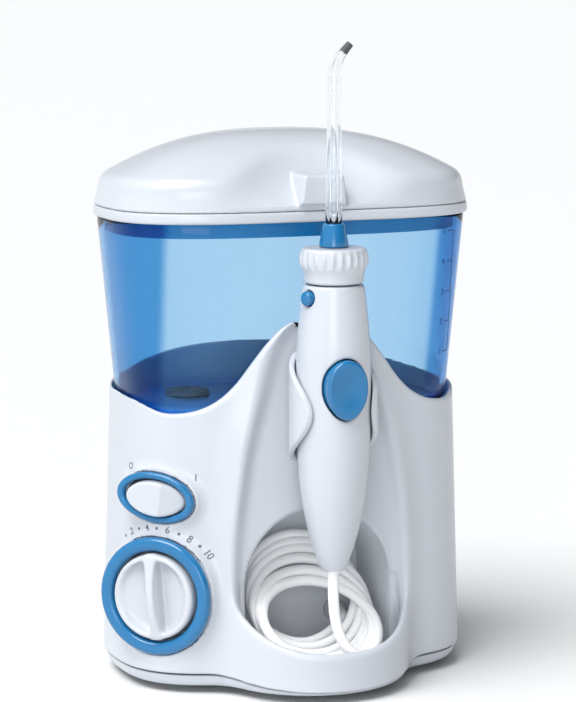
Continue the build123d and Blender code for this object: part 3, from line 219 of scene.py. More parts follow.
def metal_look(name, colour, rough):
    material, nodes, links, shader = node_tree(name)
    mix = nodes.new("ShaderNodeMix")
    mix.data_type = "RGBA"
    mix.inputs["A"].default_value = (*colour, 1)
    mix.inputs["B"].default_value = (*(c * 0.8 for c in colour), 1)
    links.new(noise(nodes, links, 220.0, 5.0), mix.inputs["Factor"])
    links.new(mix.outputs["Result"], shader.inputs["Base Color"])
    gloss = spread(nodes, links, noise(nodes, links, 700.0), rough, rough + 0.15)
    links.new(gloss, shader.inputs["Roughness"])
    shader.inputs["Metallic"].default_value = 1.0
    return material


WHITE = moulded_look("white_gloss", (0.500, 0.530, 0.576), (0.512, 0.541, 0.586), (0.29, 0.32),
                     bump=0.006, coat=0.25)
# painted light: the bay liner is paler than the white housing, to brighten the shaded bay
BAY_PAINTED_LIGHT = moulded_look("bay_liner_painted_light", (0.62, 0.65, 0.69), (0.63, 0.66, 0.70), (0.45, 0.48), bump=0.0)
BLUE = moulded_look("blue_gloss", (0.006, 0.140, 0.330), (0.008, 0.148, 0.345), (0.20, 0.24), bump=0.0,
                    coat=0.3)
# painted shade: the tip tray's dark teal stands in for the shade under the lid, seen through the tank
TRAY_PAINTED_SHADE = moulded_look("tray_painted_shade", (0.005, 0.20, 0.40), (0.01, 0.22, 0.43), (0.29, 0.38))
# painted shade: ends=True deepens the tank's tint at its left and right front ends
TANK_BLUE = clear_look("tank_clear", (1.0, 1.0, 1.0), 225.0, (0.0, 0.525, 0.85), ior=1.25, ends=True)
CLEAR = clear_look("tip_clear", (0.96, 0.975, 0.99), 30.0, (0.75, 0.80, 0.86), ior=1.33)
RUBBER = moulded_look("grey_rubber", (0.055, 0.06, 0.065), (0.075, 0.08, 0.085), (0.55, 0.7), 1500.0, 0.1)
# painted light: the hose is far paler than the white housing, to keep it bright in the shaded bay
HOSE = moulded_look("hose_painted_light", (0.90, 0.91, 0.92), (0.93, 0.94, 0.95), (0.42, 0.52), 1200.0, 0.01)
PALE_RUBBER = moulded_look("pale_rubber", (0.45, 0.47, 0.50), (0.48, 0.50, 0.53), (0.5, 0.6), 1500.0, 0.05)
INNER = moulded_look("inner_natural", (0.60, 0.60, 0.56), (0.66, 0.66, 0.62), (0.4, 0.5))
DARK = moulded_look("dark_plastic", (0.01, 0.01, 0.012), (0.02, 0.02, 0.022), (0.4, 0.5))
BOARD = moulded_look("board_green", (0.02, 0.12, 0.05), (0.03, 0.16, 0.06), (0.3, 0.4))
INK = moulded_look("ink_grey", (0.10, 0.11, 0.13), (0.13, 0.14, 0.16), (0.5, 0.6))
TANK_INK = moulded_look("ink_blue", (0.005, 0.05, 0.18), (0.008, 0.06, 0.20), (0.5, 0.6))
FLOOR = moulded_look("floor_pale", (0.78, 0.785, 0.79), (0.79, 0.795, 0.80), (0.6, 0.65), bump=0.0)
STEEL = metal_look("steel", (0.60, 0.61, 0.63), 0.28)
BRASS = metal_look("brass", (0.72, 0.55, 0.26), 0.29)


# ---------------------------------------------------------------- fields
def smooth_max(a, b, r):
    h = np.maximum(r - np.abs(a - b), 0.0) / r
    return np.maximum(a, b) + h * h * r * 0.25


def smooth_min(a, b, r):
    return -smooth_max(-a, -b, r)


def both(first, *rest, r=1.0):
    """Inside every one of the fields, with edges rounded."""
    for field in rest:
        first = smooth_max(first, field, r)
    return first


def curve(at, values, t):
    """A smooth curve through values at the given places, flat beyond its ends."""
    at, values = np.array(at, float), np.array(values, float)
    slope = np.gradient(values, at)
    t = np.clip(t, at[0], at[-1])
    i = np.clip(np.searchsorted(at, t, side="right") - 1, 0, len(at) - 2)
    width = at[i + 1] - at[i]
    u = (t - at[i]) / width
    return (values[i] * (2 * u ** 3 - 3 * u ** 2 + 1) + values[i + 1] * (3 * u ** 2 - 2 * u ** 3)
            + slope[i] * width * (u ** 3 - 2 * u ** 2 + u) + slope[i + 1] * width * (u ** 3 - u ** 2))


def smooth_step(t):
    t = np.clip(t, 0, 1)
    return t * t * (3 - 2 * t)


def reach(x, y, half, front, back):
    """1 on the plan outline, a superellipse that is squarer in front, and less inside it."""
    power = np.where(y < 0, FRONT_POWER, BACK_POWER)
    depth = np.where(y < 0, front, back)
    u, v = np.abs(x) / half + 1e-6, np.abs(y) / depth + 1e-6
    r = (u ** power + v ** power) ** (1 / power)
    gx, gy = (u / r) ** (power - 1) / half, (v / r) ** (power - 1) / depth
    return r, np.sqrt(gx * gx + gy * gy)


def plan(x, y, half, front, back):
    """Distance outside the plan outline."""
    r, slope = reach(x, y, half, front, back)
    return (r - 1) / slope


def tapered(x, y, z, low, low_z, high, high_z):
    share = (z - low_z) / (high_z - low_z)
    return plan(x, y, *(a + (b - a) * share for a, b in zip(low, high)))


def oval(x, y, half, tall):
    """Distance outside an ellipse."""
    u, v = x / half, y / tall
    r = np.sqrt(u * u + v * v) + 1e-6
    return (r - 1) / (np.sqrt((u / half) ** 2 + (v / tall) ** 2) / r + 1e-9)


def about_handle(x, y):
    return np.sqrt(x * x + (y - HANDLE_Y) ** 2)


def on_control(x, y, z, height, roll=0.0):
    """Right, up and out from the middle of a control on the front left corner."""
    turn, tilt = radians(CONTROL_TURN), radians(roll)
    dx, dy, up = x - CONTROL_FACE[0], y - CONTROL_FACE[1], z - height
    right = dx * cos(turn) - dy * sin(turn)
    out = -dx * sin(turn) - dy * cos(turn)
    return right * cos(tilt) + up * sin(tilt), up * cos(tilt) - right * sin(tilt), out


def control_place(height, roll=0.0):
    """Where a control's own frame (right, up, out) lies in the row frame, in millimetres."""
    turn, tilt = radians(CONTROL_TURN), radians(roll)
    right, out = Vector((cos(turn), -sin(turn), 0)), Vector((-sin(turn), -cos(turn), 0))
    up = Vector((0, 0, 1))
    along, across = right * cos(tilt) + up * sin(tilt), up * cos(tilt) - right * sin(tilt)
    middle = Vector((*CONTROL_FACE, height))
    return Matrix((*zip(along, across, out, middle), (0, 0, 0, 1)))


# ---------------------------------------------------------------- meshes
def surface_net(field, low, high, step):
    """Corners and four-sided faces of the surface where a field is zero."""
    axes = [np.arange(a, b + step, step) for a, b in zip(low, high)]
    value = field(*np.meshgrid(*axes, indexing="ij", sparse=True))
    value = np.ascontiguousarray(np.broadcast_to(value, [len(a) for a in axes]))
    inside = value < 0
    corners = [(i, j, k) for i in (0, 1) for j in (0, 1) for k in (0, 1)]
    n = np.array(value.shape) - 1
    count = sum(inside[i:n[0] + i, j:n[1] + j, k:n[2] + k].astype(np.int8) for i, j, k in corners)
    active = (count > 0) & (count < 8)
    number = np.full(active.shape, -1)
    number[active] = np.arange(active.sum())
    cells = np.argwhere(active)
    total, hits = np.zeros((len(cells), 3)), np.zeros(len(cells))
    for axis in range(3):
        for start in (c for c in corners if not c[axis]):
            end = np.array(start)
            end[axis] = 1
            a, b = value[tuple((cells + start).T)], value[tuple((cells + end).T)]
            crossing = (a < 0) != (b < 0)
            point = (cells + start).astype(float)
            point[:, axis] += np.where(crossing, a / np.where(crossing, a - b, 1), 0)
            total += point * crossing[:, None]
            hits += crossing
    points = np.array(low) + total / hits[:, None] * step
    faces = []
    for axis in range(3):
        u, v = np.eye(3, dtype=int)[[(axis + 1) % 3, (axis + 2) % 3]]
        a = np.take(inside, np.arange(n[axis]), axis)
        b = np.take(inside, np.arange(1, n[axis] + 1), axis)
        at = np.argwhere(a != b)
        ring = [number[tuple((at - shift).T)] for shift in (u + v, v, 0 * u, u)]
        quads = np.stack(ring, axis=1)
        outwards = a[a != b]
        quads[~outwards] = quads[~outwards][:, ::-1]
        faces.append(quads)
    return points, np.concatenate(faces)


def uphill(field, points, gap):
    """The field and its slope at scattered points."""
    x, y, z = points.T
    slope = np.stack([field(x + dx, y + dy, z + dz) - field(x - dx, y - dy, z - dz)
                      for dx, dy, dz in np.eye(3) * gap], axis=1) / (2 * gap)
    return field(x, y, z), slope


def finish_mesh(name, mesh, material, body, normals=None):
    mesh.polygons.foreach_set("use_smooth", [True] * len(mesh.polygons))
    if normals is not None:
        exact = mesh.attributes.new("custom_normal", "FLOAT_VECTOR", "POINT")
        exact.data.foreach_set("vector", normals.astype(np.float32).ravel())
    mesh.materials.append(material)
    piece = bpy.data.objects.new(name, mesh)
    bpy.context.scene.collection.objects.link(piece)
    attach(piece, body)
    return piece


def moulded(name, field, low, high, step, material, body, keep=1.0, place=Matrix()):
    """A piece bounded by the surface where its field is zero, with the field's own normals."""
    points, faces = surface_net(field, low, high, step)
    rough = bpy.data.meshes.new(name + ".net")
    rough.from_pydata(points, [], faces)
    if keep < 1.0:
        carrier = bpy.data.objects.new(name + ".net", rough)
        bpy.context.scene.collection.objects.link(carrier)
        fewer = carrier.modifiers.new("fewer", "DECIMATE")
        fewer.ratio = keep
        bpy.context.view_layer.update()
        graph = bpy.context.evaluated_depsgraph_get()
        mesh = bpy.data.meshes.new_from_object(carrier.evaluated_get(graph))
        bpy.data.objects.remove(carrier)
        mesh.name = name
    else:
        mesh = rough
    co = np.zeros(len(mesh.vertices) * 3, np.float32)
    mesh.vertices.foreach_get("co", co)
    points = co.reshape(-1, 3).astype(float)
    for _ in range(2):
        value, slope = uphill(field, points, 0.2)
        move = slope * (value / np.maximum((slope ** 2).sum(1), 0.1))[:, None]
        points -= np.clip(move, -0.4 * step, 0.4 * step)
    slope = uphill(field, points, 0.25)[1]
    normals = slope / np.maximum(np.linalg.norm(slope, axis=1, keepdims=True), 1e-9)
    turn, shift = np.array(place.to_3x3()), np.array(place.translation)
    points, normals = (points @ turn.T + shift) * MM, normals @ turn.T
    mesh.vertices.foreach_set("co", points.astype(np.float32).ravel())
    mesh.update()
    return finish_mesh(name, mesh, material, body, normals)


def rings_mesh(name, rings, material, body, closed=False):
    """A skin over rings of points in millimetres; the ends are closed to a point or joined up."""
    rings = np.array(rings) * MM
    count, around = rings.shape[:2]
    faces = []
    for i in range(count if closed else count - 1):
        a, b = i * around, (i + 1) % count * around
        faces += [(a + j, a + (j + 1) % around, b + (j + 1) % around, b + j) for j in range(around)]
    points = rings.reshape(-1, 3).tolist()
    if not closed:
        for ring, order in ((0, 1), (count - 1, -1)):
            points.append(rings[ring].mean(axis=0).tolist())
            ends = [ring * around + j for j in range(around)][::-order]
            faces += [(ends[j - 1], ends[j], len(points) - 1) for j in range(around)]
    mesh = bpy.data.meshes.new(name)
    mesh.from_pydata(points, [], faces)
    mesh.update()
    return finish_mesh(name, mesh, material, body)


def lathe_rings(profile, around=64):
    """Rings about the handle's axis through (radius, z) points."""
    turn = np.arange(around) / around * 2 * pi
    return [np.stack([r * np.cos(turn), HANDLE_Y + r * np.sin(turn), np.full(around, z)], axis=1)
            for r, z in profile]


def rounded(points, radius=0.5, steps=4):
    """A closed profile with each corner rounded."""
    out = []
    points = [Vector(p) for p in points]
    for before, here, after in zip(points[-1:] + points[:-1], points, points[1:] + points[:1]):
        start = here + (before - here).normalized() * min(radius, (before - here).length * 0.45)
        end = here + (after - here).normalized() * min(radius, (after - here).length * 0.45)
        for i in range(steps + 1):
            t = i / steps
            out.append(tuple(start * (1 - t) ** 2 + here * 2 * t * (1 - t) + end * t * t))
    return out


# ---------------------------------------------------------------- base
def wave_height(x, y):
    front, back = curve(WAVE_X, WAVE_Z, np.abs(x)), curve(BACK_X, BACK_Z, np.abs(x))
    return front + (back - front) * smooth_step((y + 12) / 24)


def groove_height(y):
    return GROOVE_Z - 0.13 * np.maximum(0, -y - 48)


def lobe(x, y, z, inset=0.0):
    return oval(x, y - LOBE_Y, curve(LOBE_Z, LOBE_HALF, z) - inset, curve(LOBE_Z, LOBE_DEPTH, z) - inset)


def arch(x, z, half, floor):
    """Round-topped opening of the hose bay."""
    top = np.sqrt(x * x + np.maximum(z - BAY_Z, 0) ** 2) - half
    return np.maximum(top, floor - z)


def base_solid(x, y, z):
    solid = tapered(x, y, z, BODY_LOW, BODY_LOW_Z, BODY_HIGH, BODY_HIGH_Z)
    solid = smooth_min(solid, lobe(x, y, z), 9)
    for height, roll, ring in ((DIAL_Z, 0, None), (SWITCH_Z, CONTROL_ROLL, SWITCH_HALF)):
        right, up, out = on_control(x, y, z, height, roll)
        edge = np.sqrt(right ** 2 + up ** 2) - RING_R if ring is None else oval(right, up, *ring)
        seat = both(edge - 0.3, out, -out - 20, r=0.8)
        solid = smooth_min(solid, seat, 5)
        solid = smooth_max(solid, -both(edge - 0.1, -out, r=0.3), 0.4)
    # the scoop for the handle, widest near the bottom
    across, down = np.abs(x) / SCOOP_HALF[0], np.maximum(SCOOP_Z[0] - z, 0) / SCOOP_FOOT
    below = (across ** SCOOP_POWER + down ** SCOOP_POWER) ** (1 / SCOOP_POWER)
    above = np.abs(x) - curve(SCOOP_Z, SCOOP_HALF, z)
    scoop = np.where(z < SCOOP_Z[0], (below - 1) * SCOOP_HALF[0], above)
    solid = smooth_max(solid, -smooth_max(scoop, y - RECESS_Y, 7), 4.5)
    # the basin behind the lip
    basin_r = BASIN_R - BASIN_NARROWING * smooth_step((z - 20) / 25)
    basin = both(np.sqrt(x * x + (y - LOBE_Y) ** 2) - basin_r, y - BASIN_BACK_Y, z - BASIN_Z[1],
                 BASIN_Z[0] - z, r=1.5)
    solid = smooth_max(solid, -basin, 2.6)
    # the mouth of the hose bay, and room for its liner
    mouth = both(arch(x, z, BAY_HALF, BAY_FLOOR_Z), y - MOUTH_Y[1], MOUTH_Y[0] - y, r=0.5)
    solid = smooth_max(solid, -mouth, 2.2)
    liner = both(arch(x, z, BAY_HALF + LINER_WALL, LINER_FLOOR_Z), LINER_Y[0] - y, y - LINER_Y[1], r=0.3)
    solid = smooth_max(solid, -liner, 0.3)
    # the well for the tank, and the wavy top edge
    well = tapered(x, y, z, TANK_LOW, TANK_LOW_Z, TANK_HIGH, TANK_HIGH_Z) - WELL_GAP
    solid = smooth_max(solid, -both(well, DECK_Z - z, r=1.0), 1.0)
    steep = (wave_height(x + 0.5, y) - wave_height(x - 0.5, y)) ** 2
    solid = smooth_max(solid, (z - wave_height(x, y)) / np.sqrt(1 + steep), 1.6)
    # room for the handle
    return smooth_max(solid, -both(about_handle(x, y) - CRADLE_R[0], 88 - z, z - 150, r=0.5), 0.6)


def base_field(x, y, z):
    solid = base_solid(x, y, z)
    for height, roll in ((DIAL_Z, 0), (SWITCH_Z, CONTROL_ROLL)):
        right, up, out = on_control(x, y, z, height, roll)
        bore = np.sqrt(right ** 2 + up ** 2) - BORE_R if not roll else oval(right, up, *SWITCH_BORE)
        solid = smooth_max(solid, -both(bore, -7.5 - out, r=0.5), 0.5)
    shell = smooth_max(solid, -(solid + WALL), 0.5)
    right, up, out = on_control(x, y, z, DIAL_Z)
    shell = smooth_max(shell, -both(np.sqrt(right ** 2 + up ** 2) - 4.6, -14 - out, r=0.3), 0.4)
    right, up, out = on_control(x, y, z, SWITCH_Z, CONTROL_ROLL)
    shell = smooth_max(shell, -both(oval(right, up, *SWITCH_BORE) + 0.6, -14 - out, r=0.3), 0.4)
    port = np.sqrt((x - PORT_X) ** 2 + (y - PORT_Y) ** 2) - PORT_R
    shell = smooth_max(shell, -both(port, 100 - z, r=0.3), 0.4)
    inlet = np.sqrt(x ** 2 + (z - INLET_Z) ** 2) - INLET_R
    shell = smooth_max(shell, -both(inlet, 48 - y, r=0.3), 0.4)
    return smooth_max(shell, groove_height(y) + 0.3 - z, 0.9)


def cradle_field(x, y, z):
    """Two wings round the handle, reaching furthest forward halfway up."""
    rho = about_handle(x, y)
    edge = CRADLE_FRONT_Y + 17 * ((z - CRADLE_Z) / 19) ** 2 - y
    wings = both(rho - CRADLE_R[1], CRADLE_R[0] - rho, edge, y + 46, r=1.0)
    return np.maximum(wings, 5 - np.abs(x))


def skirt_field(x, y, z):
    share = np.clip((z - SKIRT_LOW_Z) / 5.8, 0, 1)
    side = plan(x, y, *(a + (b - 0.6 - a) * share for a, b in zip(SKIRT_LOW, BODY_LOW)))
    side = smooth_min(side, np.sqrt(x * x + (y - LOBE_Y) ** 2) - (39.6 + 1.8 * share), 9)
    solid = both(side, SKIRT_LOW_Z - z, r=3.0)
    solid = both(solid, z - groove_height(y) + 0.35, r=0.9)
    return smooth_max(solid, -both(side + 3, z - 5.4, r=0.5), 0.5)


def make_base():
    shell = moulded("base_shell", base_field, (-86, -86, 1), (86, 62, 160), 0.95, WHITE, "base",
                    keep=0.45)
    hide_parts("base_housing")
    cradle = moulded("cradle_wings", cradle_field, (-19, -77, 89), (19, -44, 145), 0.45, WHITE, "base",
                     keep=0.7)
    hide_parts("handle_clip")
    skirt = moulded("base_skirt", skirt_field, (-80, -84, 1), (80, 60, 11), 0.7, WHITE, "base",
                    keep=0.6)
    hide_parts("base_plate")
    return shell


# ---------------------------------------------------------------- tank, lid
def tank_ring(z, inset, around=200):
    share = (z - TANK_LOW_Z) / (TANK_HIGH_Z - TANK_LOW_Z)
    half, front, back = (a + (b - a) * share - inset for a, b in zip(TANK_LOW, TANK_HIGH))
    turn = np.arange(around) / around * 2 * pi
    ahead = np.sin(turn) < 0
    depth, power = np.where(ahead, front, back), np.where(ahead, FRONT_POWER, BACK_POWER)
    r = (np.abs(np.cos(turn) / half) ** power + np.abs(np.sin(turn) / depth) ** power) ** (-1 / power)
    return np.stack([r * np.cos(turn), r * np.sin(turn), np.full(around, z)], axis=1)


def make_tank():
    """One closed skin: outside from the middle of the floor to the rim, then down the inside."""
    floor_z, bend, side_steps = TANK_LOW_Z + 2.2, 4.0, 14
    profile = [(TANK_LOW_Z, inset) for inset in (44, 36, 26, 16, 9, bend)]
    profile += [(TANK_LOW_Z + bend * (1 - cos(a)), bend * (1 - sin(a)))
                for a in np.arange(1, 9) / 8 * pi / 2]
    profile += [(TANK_LOW_Z + bend + (TANK_HIGH_Z - 0.8 - TANK_LOW_Z - bend) * i / side_steps, 0)
                for i in range(1, side_steps + 1)]
    rim = TANK_WALL / 2
    profile += [(TANK_HIGH_Z - 0.8 + 0.8 * sin(a), rim - rim * cos(a)) for a in np.arange(1, 8) / 8 * pi]
    profile += [(TANK_HIGH_Z - 0.8 + (floor_z + bend - TANK_HIGH_Z + 0.8) * i / side_steps, TANK_WALL)
                for i in range(side_steps + 1)]
    profile += [(floor_z + bend * (1 - sin(a)), TANK_WALL + bend * (1 - cos(a)))
                for a in np.arange(1, 9) / 8 * pi / 2]
    profile += [(floor_z, inset) for inset in (9, 16, 26, 36, 44)]
    piece = rings_mesh("water_tank", [tank_ring(z, inset) for z, inset in profile], TANK_BLUE, "tank")
    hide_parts("tank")
    return piece


def lid_solid(x, y, z):
    half = curve(LID_Z, LID_HALF, z)
    rho, slope = reach(x, y, half, half - 27.7, half - 22.5)
    wall = (rho - 1) / slope
    steep = LID_RISE * LID_POWER * rho ** (LID_POWER - 1) / LID_CROWN ** LID_POWER * slope
    crown = LID_SHOULDER_Z + LID_RISE * (1 - (rho / LID_CROWN) ** LID_POWER)
    top = (z - crown) / np.sqrt(1 + steep ** 2)
    solid = smooth_max(wall, top, 2.8)
    # the front falls back in a shallow valley, deepest in the middle
    back = 0.7 + VALLEY_DEPTH * np.exp(-np.abs(x / VALLEY_HALF) ** 2.5)
    cut = VALLEY_LIP_Y + back * np.clip((z - 197) / 23, 0.001, 2) ** 0.7
    solid = smooth_max(solid, (cut - y) * 0.78, 2.4)
    # the finger tab under the middle of the front edge
    tab = both(np.abs(x - 1.4) - 9.4 + (z - 203) * 0.12, np.abs(z - 203.2) - 6.3, -51 - y, y + 30, r=1.6)
    return smooth_min(solid, tab, 1.4)


def lid_field(x, y, z):
    solid = lid_solid(x, y, z)
    shell = smooth_max(solid, -(solid + LID_WALL), 0.4)
    slot = both(np.abs(x) - 8, np.abs(z - 196.9) - 0.8, y + 50.0, r=0.4)
    shell = smooth_max(shell, -slot, 0.4)
    side = np.abs(x)
    knuckle = np.sqrt((y - HINGE_Y) ** 2 + (z - HINGE_Z) ** 2) - HINGE_R
    web = both(np.abs(y - 54.5) - 2.5, np.abs(z - 194.6) - 3.0, r=0.5)
    knuckle = both(smooth_min(knuckle, web, 1.5), np.abs(side - 30.15) - 3.85, r=0.5)
    shell = smooth_min(shell, knuckle, 0.8)
    ear = both(np.abs(side - 22.1) - 4.6, np.abs(y - HINGE_Y) - 8, np.abs(z - HINGE_Z) - 4.7, r=0.4)
    shell = smooth_max(shell, -ear, 0.4)
    pin = np.sqrt((y - HINGE_Y) ** 2 + (z - HINGE_Z) ** 2) - PIN_R
    shell = smooth_max(shell, -np.maximum(pin, 20 - side), 0.2)
    return smooth_max(shell, LID_SEAM_Z - z, 1.0)


def lid_rim_field(x, y, z):
    solid = lid_solid(x, y, z)
    shell = both(solid, -(solid + LID_WALL), r=0.5)
    side = np.abs(x)
    ear = both(np.abs(side - 26.0) - 8.5, np.abs(y - HINGE_Y) - 8, r=0.4)
    shell = smooth_max(shell, -ear, 0.4)
    return both(shell, np.abs(z - LID_RIM_Z) - 2.2, r=1.0)


def make_lid():
    shell = moulded("lid_shell", lid_field, (-80, -54, 190), (80, 63, 228), 0.8, WHITE, "lid",
                    keep=0.45)
    moulded("lid_rim", lid_rim_field, (-80, -54, 188), (80, 60, 198), 0.7, WHITE, "lid",
            keep=0.6)
    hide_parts("lid")


# ---------------------------------------------------------------- handle
def pause_edge(x, up, margin=0.0):
    """Distance outside the pause button's outline, an oval with a blunt point below."""
    angles = [np.arctan2(b, a) for a, b in PAUSE_OUTLINE]
    radii = [np.hypot(a, b) for a, b in PAUSE_OUTLINE]
    turn = np.arctan2(up, np.abs(x) + 1e-6)
    return (np.sqrt(x * x + up * up) - curve(angles, radii, turn) - margin) * 0.97


def eject_frame(x, y, z):
    turn = radians(EJECT_TURN)
    out = -x * sin(turn) - (y - HANDLE_Y) * cos(turn)
    across = x * cos(turn) - (y - HANDLE_Y) * sin(turn)
    return np.sqrt(across ** 2 + (z - EJECT_Z) ** 2), out


def handle_field(x, y, z):
    rho = about_handle(x, y)
    radius = curve(HANDLE_Z, HANDLE_R, z)
    solid = both(rho - radius, HANDLE_Z[0] - z, z - HANDLE_Z[-1], r=1.6)
    solid = smooth_min(solid, both(rho - SLEEVE_R, z - SLEEVE_TOP_Z, 160 - z, r=0.5), 0.6)
    inside = both(rho - radius + 1.8, 62 - z, z - 165.2, r=1.0)
    solid = smooth_max(solid, -inside, 0.4)
    solid = smooth_max(solid, -np.maximum(rho - 5.2, 160 - z), 0.4)
    solid = smooth_max(solid, 2.4 - rho, 0.4)
    opening = both(pause_edge(x, z - PAUSE_Z, 0.4), y - HANDLE_Y + 5, r=0.4)
    solid = smooth_max(solid, -opening, 1.3)
    across, out = eject_frame(x, y, z)
    return smooth_max(solid, -both(across - 3.2, 6 - out, r=0.3), 0.9)


def pause_field(x, y, z):
    up, out = z - PAUSE_Z, HANDLE_Y - y
    solid = both(pause_edge(x, up), 8.2 - out, out - 17.2, r=1.6)
    dish = np.sqrt((x - 0.9) ** 2 + (up - 0.5) ** 2 + (out - 40) ** 2) - 24
    return smooth_max(solid, -dish, 1.2)


def eject_field(x, y, z):
    across, out = eject_frame(x, y, z)
    return both(across - 2.9, 9.4 - out, out - 14.8, r=1.6)


def collar_field(x, y, z):
    rho = about_handle(x, y)
    radius = curve(COLLAR_Z, COLLAR_R, z)
    pitch = 2 * pi / FLUTES
    turn = np.arctan2(y - HANDLE_Y, x)
    turn = (turn + pitch / 2) % pitch - pitch / 2
    depth = rho * np.cos(turn) - FLUTE_AT_R
    flute_r = FLUTE_R * smooth_step((z - 172) / 3)
    flute = both(np.sqrt(depth ** 2 + (rho * np.sin(turn)) ** 2) - flute_r, 172.2 - z, r=0.8)
    solid = both(rho - radius, COLLAR_LOW_Z - z, z - COLLAR_TOP_Z, r=1.2)
    solid = smooth_max(solid, -flute, 0.9)
    solid = smooth_max(solid, -np.maximum(rho - 8.3, z - 177), 0.4)
    return smooth_max(solid, 3.6 - rho, 0.4)


def make_handle():
    shell = moulded("handle_body", handle_field, (-17, -82, 50), (17, -48, 179), 0.55, WHITE, "handle",
                    keep=0.5)
    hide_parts("handle_shell")
    pause = moulded("pause_cap", pause_field, (-10, -84, 113), (10, -71, 141), 0.4, BLUE, "pause_button")
    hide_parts("pause_button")
    eject = moulded("eject_cap", eject_field, (-18, -75, 158), (-5, -58, 167), 0.3, BLUE, "eject_button")
    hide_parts("eject_button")
    collar = moulded("fluted_collar", collar_field, (-15, -80, 167), (15, -50, 183), 0.34, WHITE, "collar")
    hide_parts("tip_collar")


def shaft_ring(z, share=1.0):
    height, *columns = zip(*SHAFT_PATH)
    x, lean, radius = (float(curve(height, column, z)) for column in columns)
    radius *= share
    turn, a = np.arange(40) / 40 * 2 * pi, radians(lean)
    return np.stack([x + radius * np.cos(turn) * cos(a), HANDLE_Y + radius * np.sin(turn),
                     z - radius * np.cos(turn) * sin(a)], axis=1)


def make_tip():
    seat = rings_mesh("tip_cone", lathe_rings(rounded(CONE_PROFILE)[::-1]), BLUE, "tip",
                      closed=True)
    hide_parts("tip_seat")
    low, top = SHAFT_PATH[0][0], SHAFT_PATH[-1][0]
    heights = [low + (SHAFT_BEND_Z - low) * i / 10 for i in range(10)]
    heights += [SHAFT_BEND_Z + (top - SHAFT_BEND_Z) * i / 16 for i in range(17)]
    inside = [shaft_ring(z, SHAFT_BORE_SHARE) for z in heights]
    outside = [shaft_ring(z) for z in heights]
    shaft = rings_mesh("tip_tube", inside[::-1] + outside, CLEAR, "tip", closed=True)
    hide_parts("tip_shaft")


# ---------------------------------------------------------------- controls
def dial_ring_field(x, y, z):
    rho = np.sqrt(x * x + y * y)
    return both(rho - RING_R, BORE_R - rho, -z, z - 4.6, r=2.6)


def switch_ring_field(x, y, z):
    return both(oval(x, y, *SWITCH_HALF), -oval(x, y, *SWITCH_BORE), -z, z - 3.6, r=1.9)


def knob_field(x, y, z):
    """A cup with a ridge across it and a half-moon hollow on each side, deepest at the ridge."""
    rho = np.sqrt(x * x + y * y)
    lean = radians(5)
    across = x * cos(lean) + y * sin(lean)
    solid = both(rho - KNOB_R + 0.5, z - 5.8, -7.0 - z, r=2.2)
    hollow = both(rho - 15.0, 2.0 - np.abs(across), 0.3 + 0.36 * (np.abs(across) - 2) - z, r=3.0)
    solid = smooth_max(solid, -hollow, 1.6)
    ridge = both(np.abs(across) - 2.1 + 0.1 * (z - 4), z - 8.6 + 0.012 * y * y, rho - 17.3, 2.0 - z, r=1.4)
    solid = smooth_min(solid, ridge, 1.6)
    return smooth_min(solid, both(rho - 4.0, z + 5, -29.0 - z, r=0.5), 0.5)


def rocker_field(x, y, z):
    """The raised end leans back, so that it clears the ring as it is pressed."""
    slope = z - 6.2 + 0.55 * np.maximum(x - 3.5, 0)
    lean = ROCKER_LEAN * (z + 3.2)
    edge = oval(x - lean, y, SWITCH_BORE[0] - 0.9 - lean, SWITCH_BORE[1] - 0.5)
    return both(edge, slope, -3.2 - z, r=1.2)


def make_controls():
    dial, switch = control_place(DIAL_Z), control_place(SWITCH_Z, CONTROL_ROLL)
    ring = moulded("dial_rim", dial_ring_field, (-26, -26, -2), (26, 26, 7), 0.5, BLUE, "base",
                   place=dial)
    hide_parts("dial_ring")
    knob = moulded("dial_grip", knob_field, (-20, -20, -31), (20, 20, 11), 0.5, WHITE, "dial",
                   keep=0.6, place=dial)
    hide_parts("dial_knob")
    rim = moulded("switch_rim", switch_ring_field, (-19, -12, -2), (19, 12, 6), 0.4, BLUE, "base",
                  place=switch)
    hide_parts("switch_ring")
    rocker = moulded("switch_cap", rocker_field, (-14, -9, -5), (14, 9, 7), 0.4, WHITE, "rocker",
                     place=switch)
    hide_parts("rocker")


# ---------------------------------------------------------------- marks
def drawn_on(name, parts, target, place, material, body):
    """Flat marks, as (x, y) faces in a frame on the surface, laid on the surface along its -Z."""
    tree = BVHTree.FromObject(target, bpy.context.evaluated_depsgraph_get())
    turn = place.to_3x3()
    points, faces = [], []
    for corners, shapes in parts:
        at = len(points)
        for x, y in corners:
            start = place @ Vector((x, y, 30))
            hit, normal, _, _ = tree.ray_cast(start * MM, -(turn @ Vector((0, 0, 1))))
            points.append(hit + normal * 0.00006)
        faces += [[at + i for i in shape] for shape in shapes]
    mesh = bpy.data.meshes.new(name)
    mesh.from_pydata(points, [], faces)
    mesh.update()
    return finish_mesh(name, mesh, material, body)


def lettering(text, size, x, y, turn=0.0):
    """The corners and faces of a short piece of text, centred at x, y and turned clockwise."""
    made = bpy.data.curves.new("text", "FONT")
    made.body, made.size, made.align_x, made.align_y = text, size, "CENTER", "CENTER"
    made.offset = 0.012 * size
    holder = bpy.data.objects.new("text", made)
    bpy.context.scene.collection.objects.link(holder)
    bpy.context.view_layer.update()
    mesh = holder.to_mesh()
    a = radians(-turn)
    corners = [(x + v.co.x * cos(a) - v.co.y * sin(a), y + v.co.x * sin(a) + v.co.y * cos(a))
               for v in mesh.vertices]
    shapes = [list(p.vertices) for p in mesh.polygons]
    holder.to_mesh_clear()
    bpy.data.objects.remove(holder)
    return corners, shapes


def bar(x, y, wide, tall, pieces=1):
    corners = [(x + wide * (i / pieces - 0.5), y + side * tall / 2)
               for i in range(pieces + 1) for side in (-1, 1)]
    shapes = [(2 * i, 2 * i + 2, 2 * i + 3, 2 * i + 1) for i in range(pieces)]
    return corners, shapes


def spot(x, y, radius, count=12):
    angles = [2 * pi * i / count for i in range(count)]
    return [(x + radius * cos(a), y + radius * sin(a)) for a in angles], [tuple(range(count))]


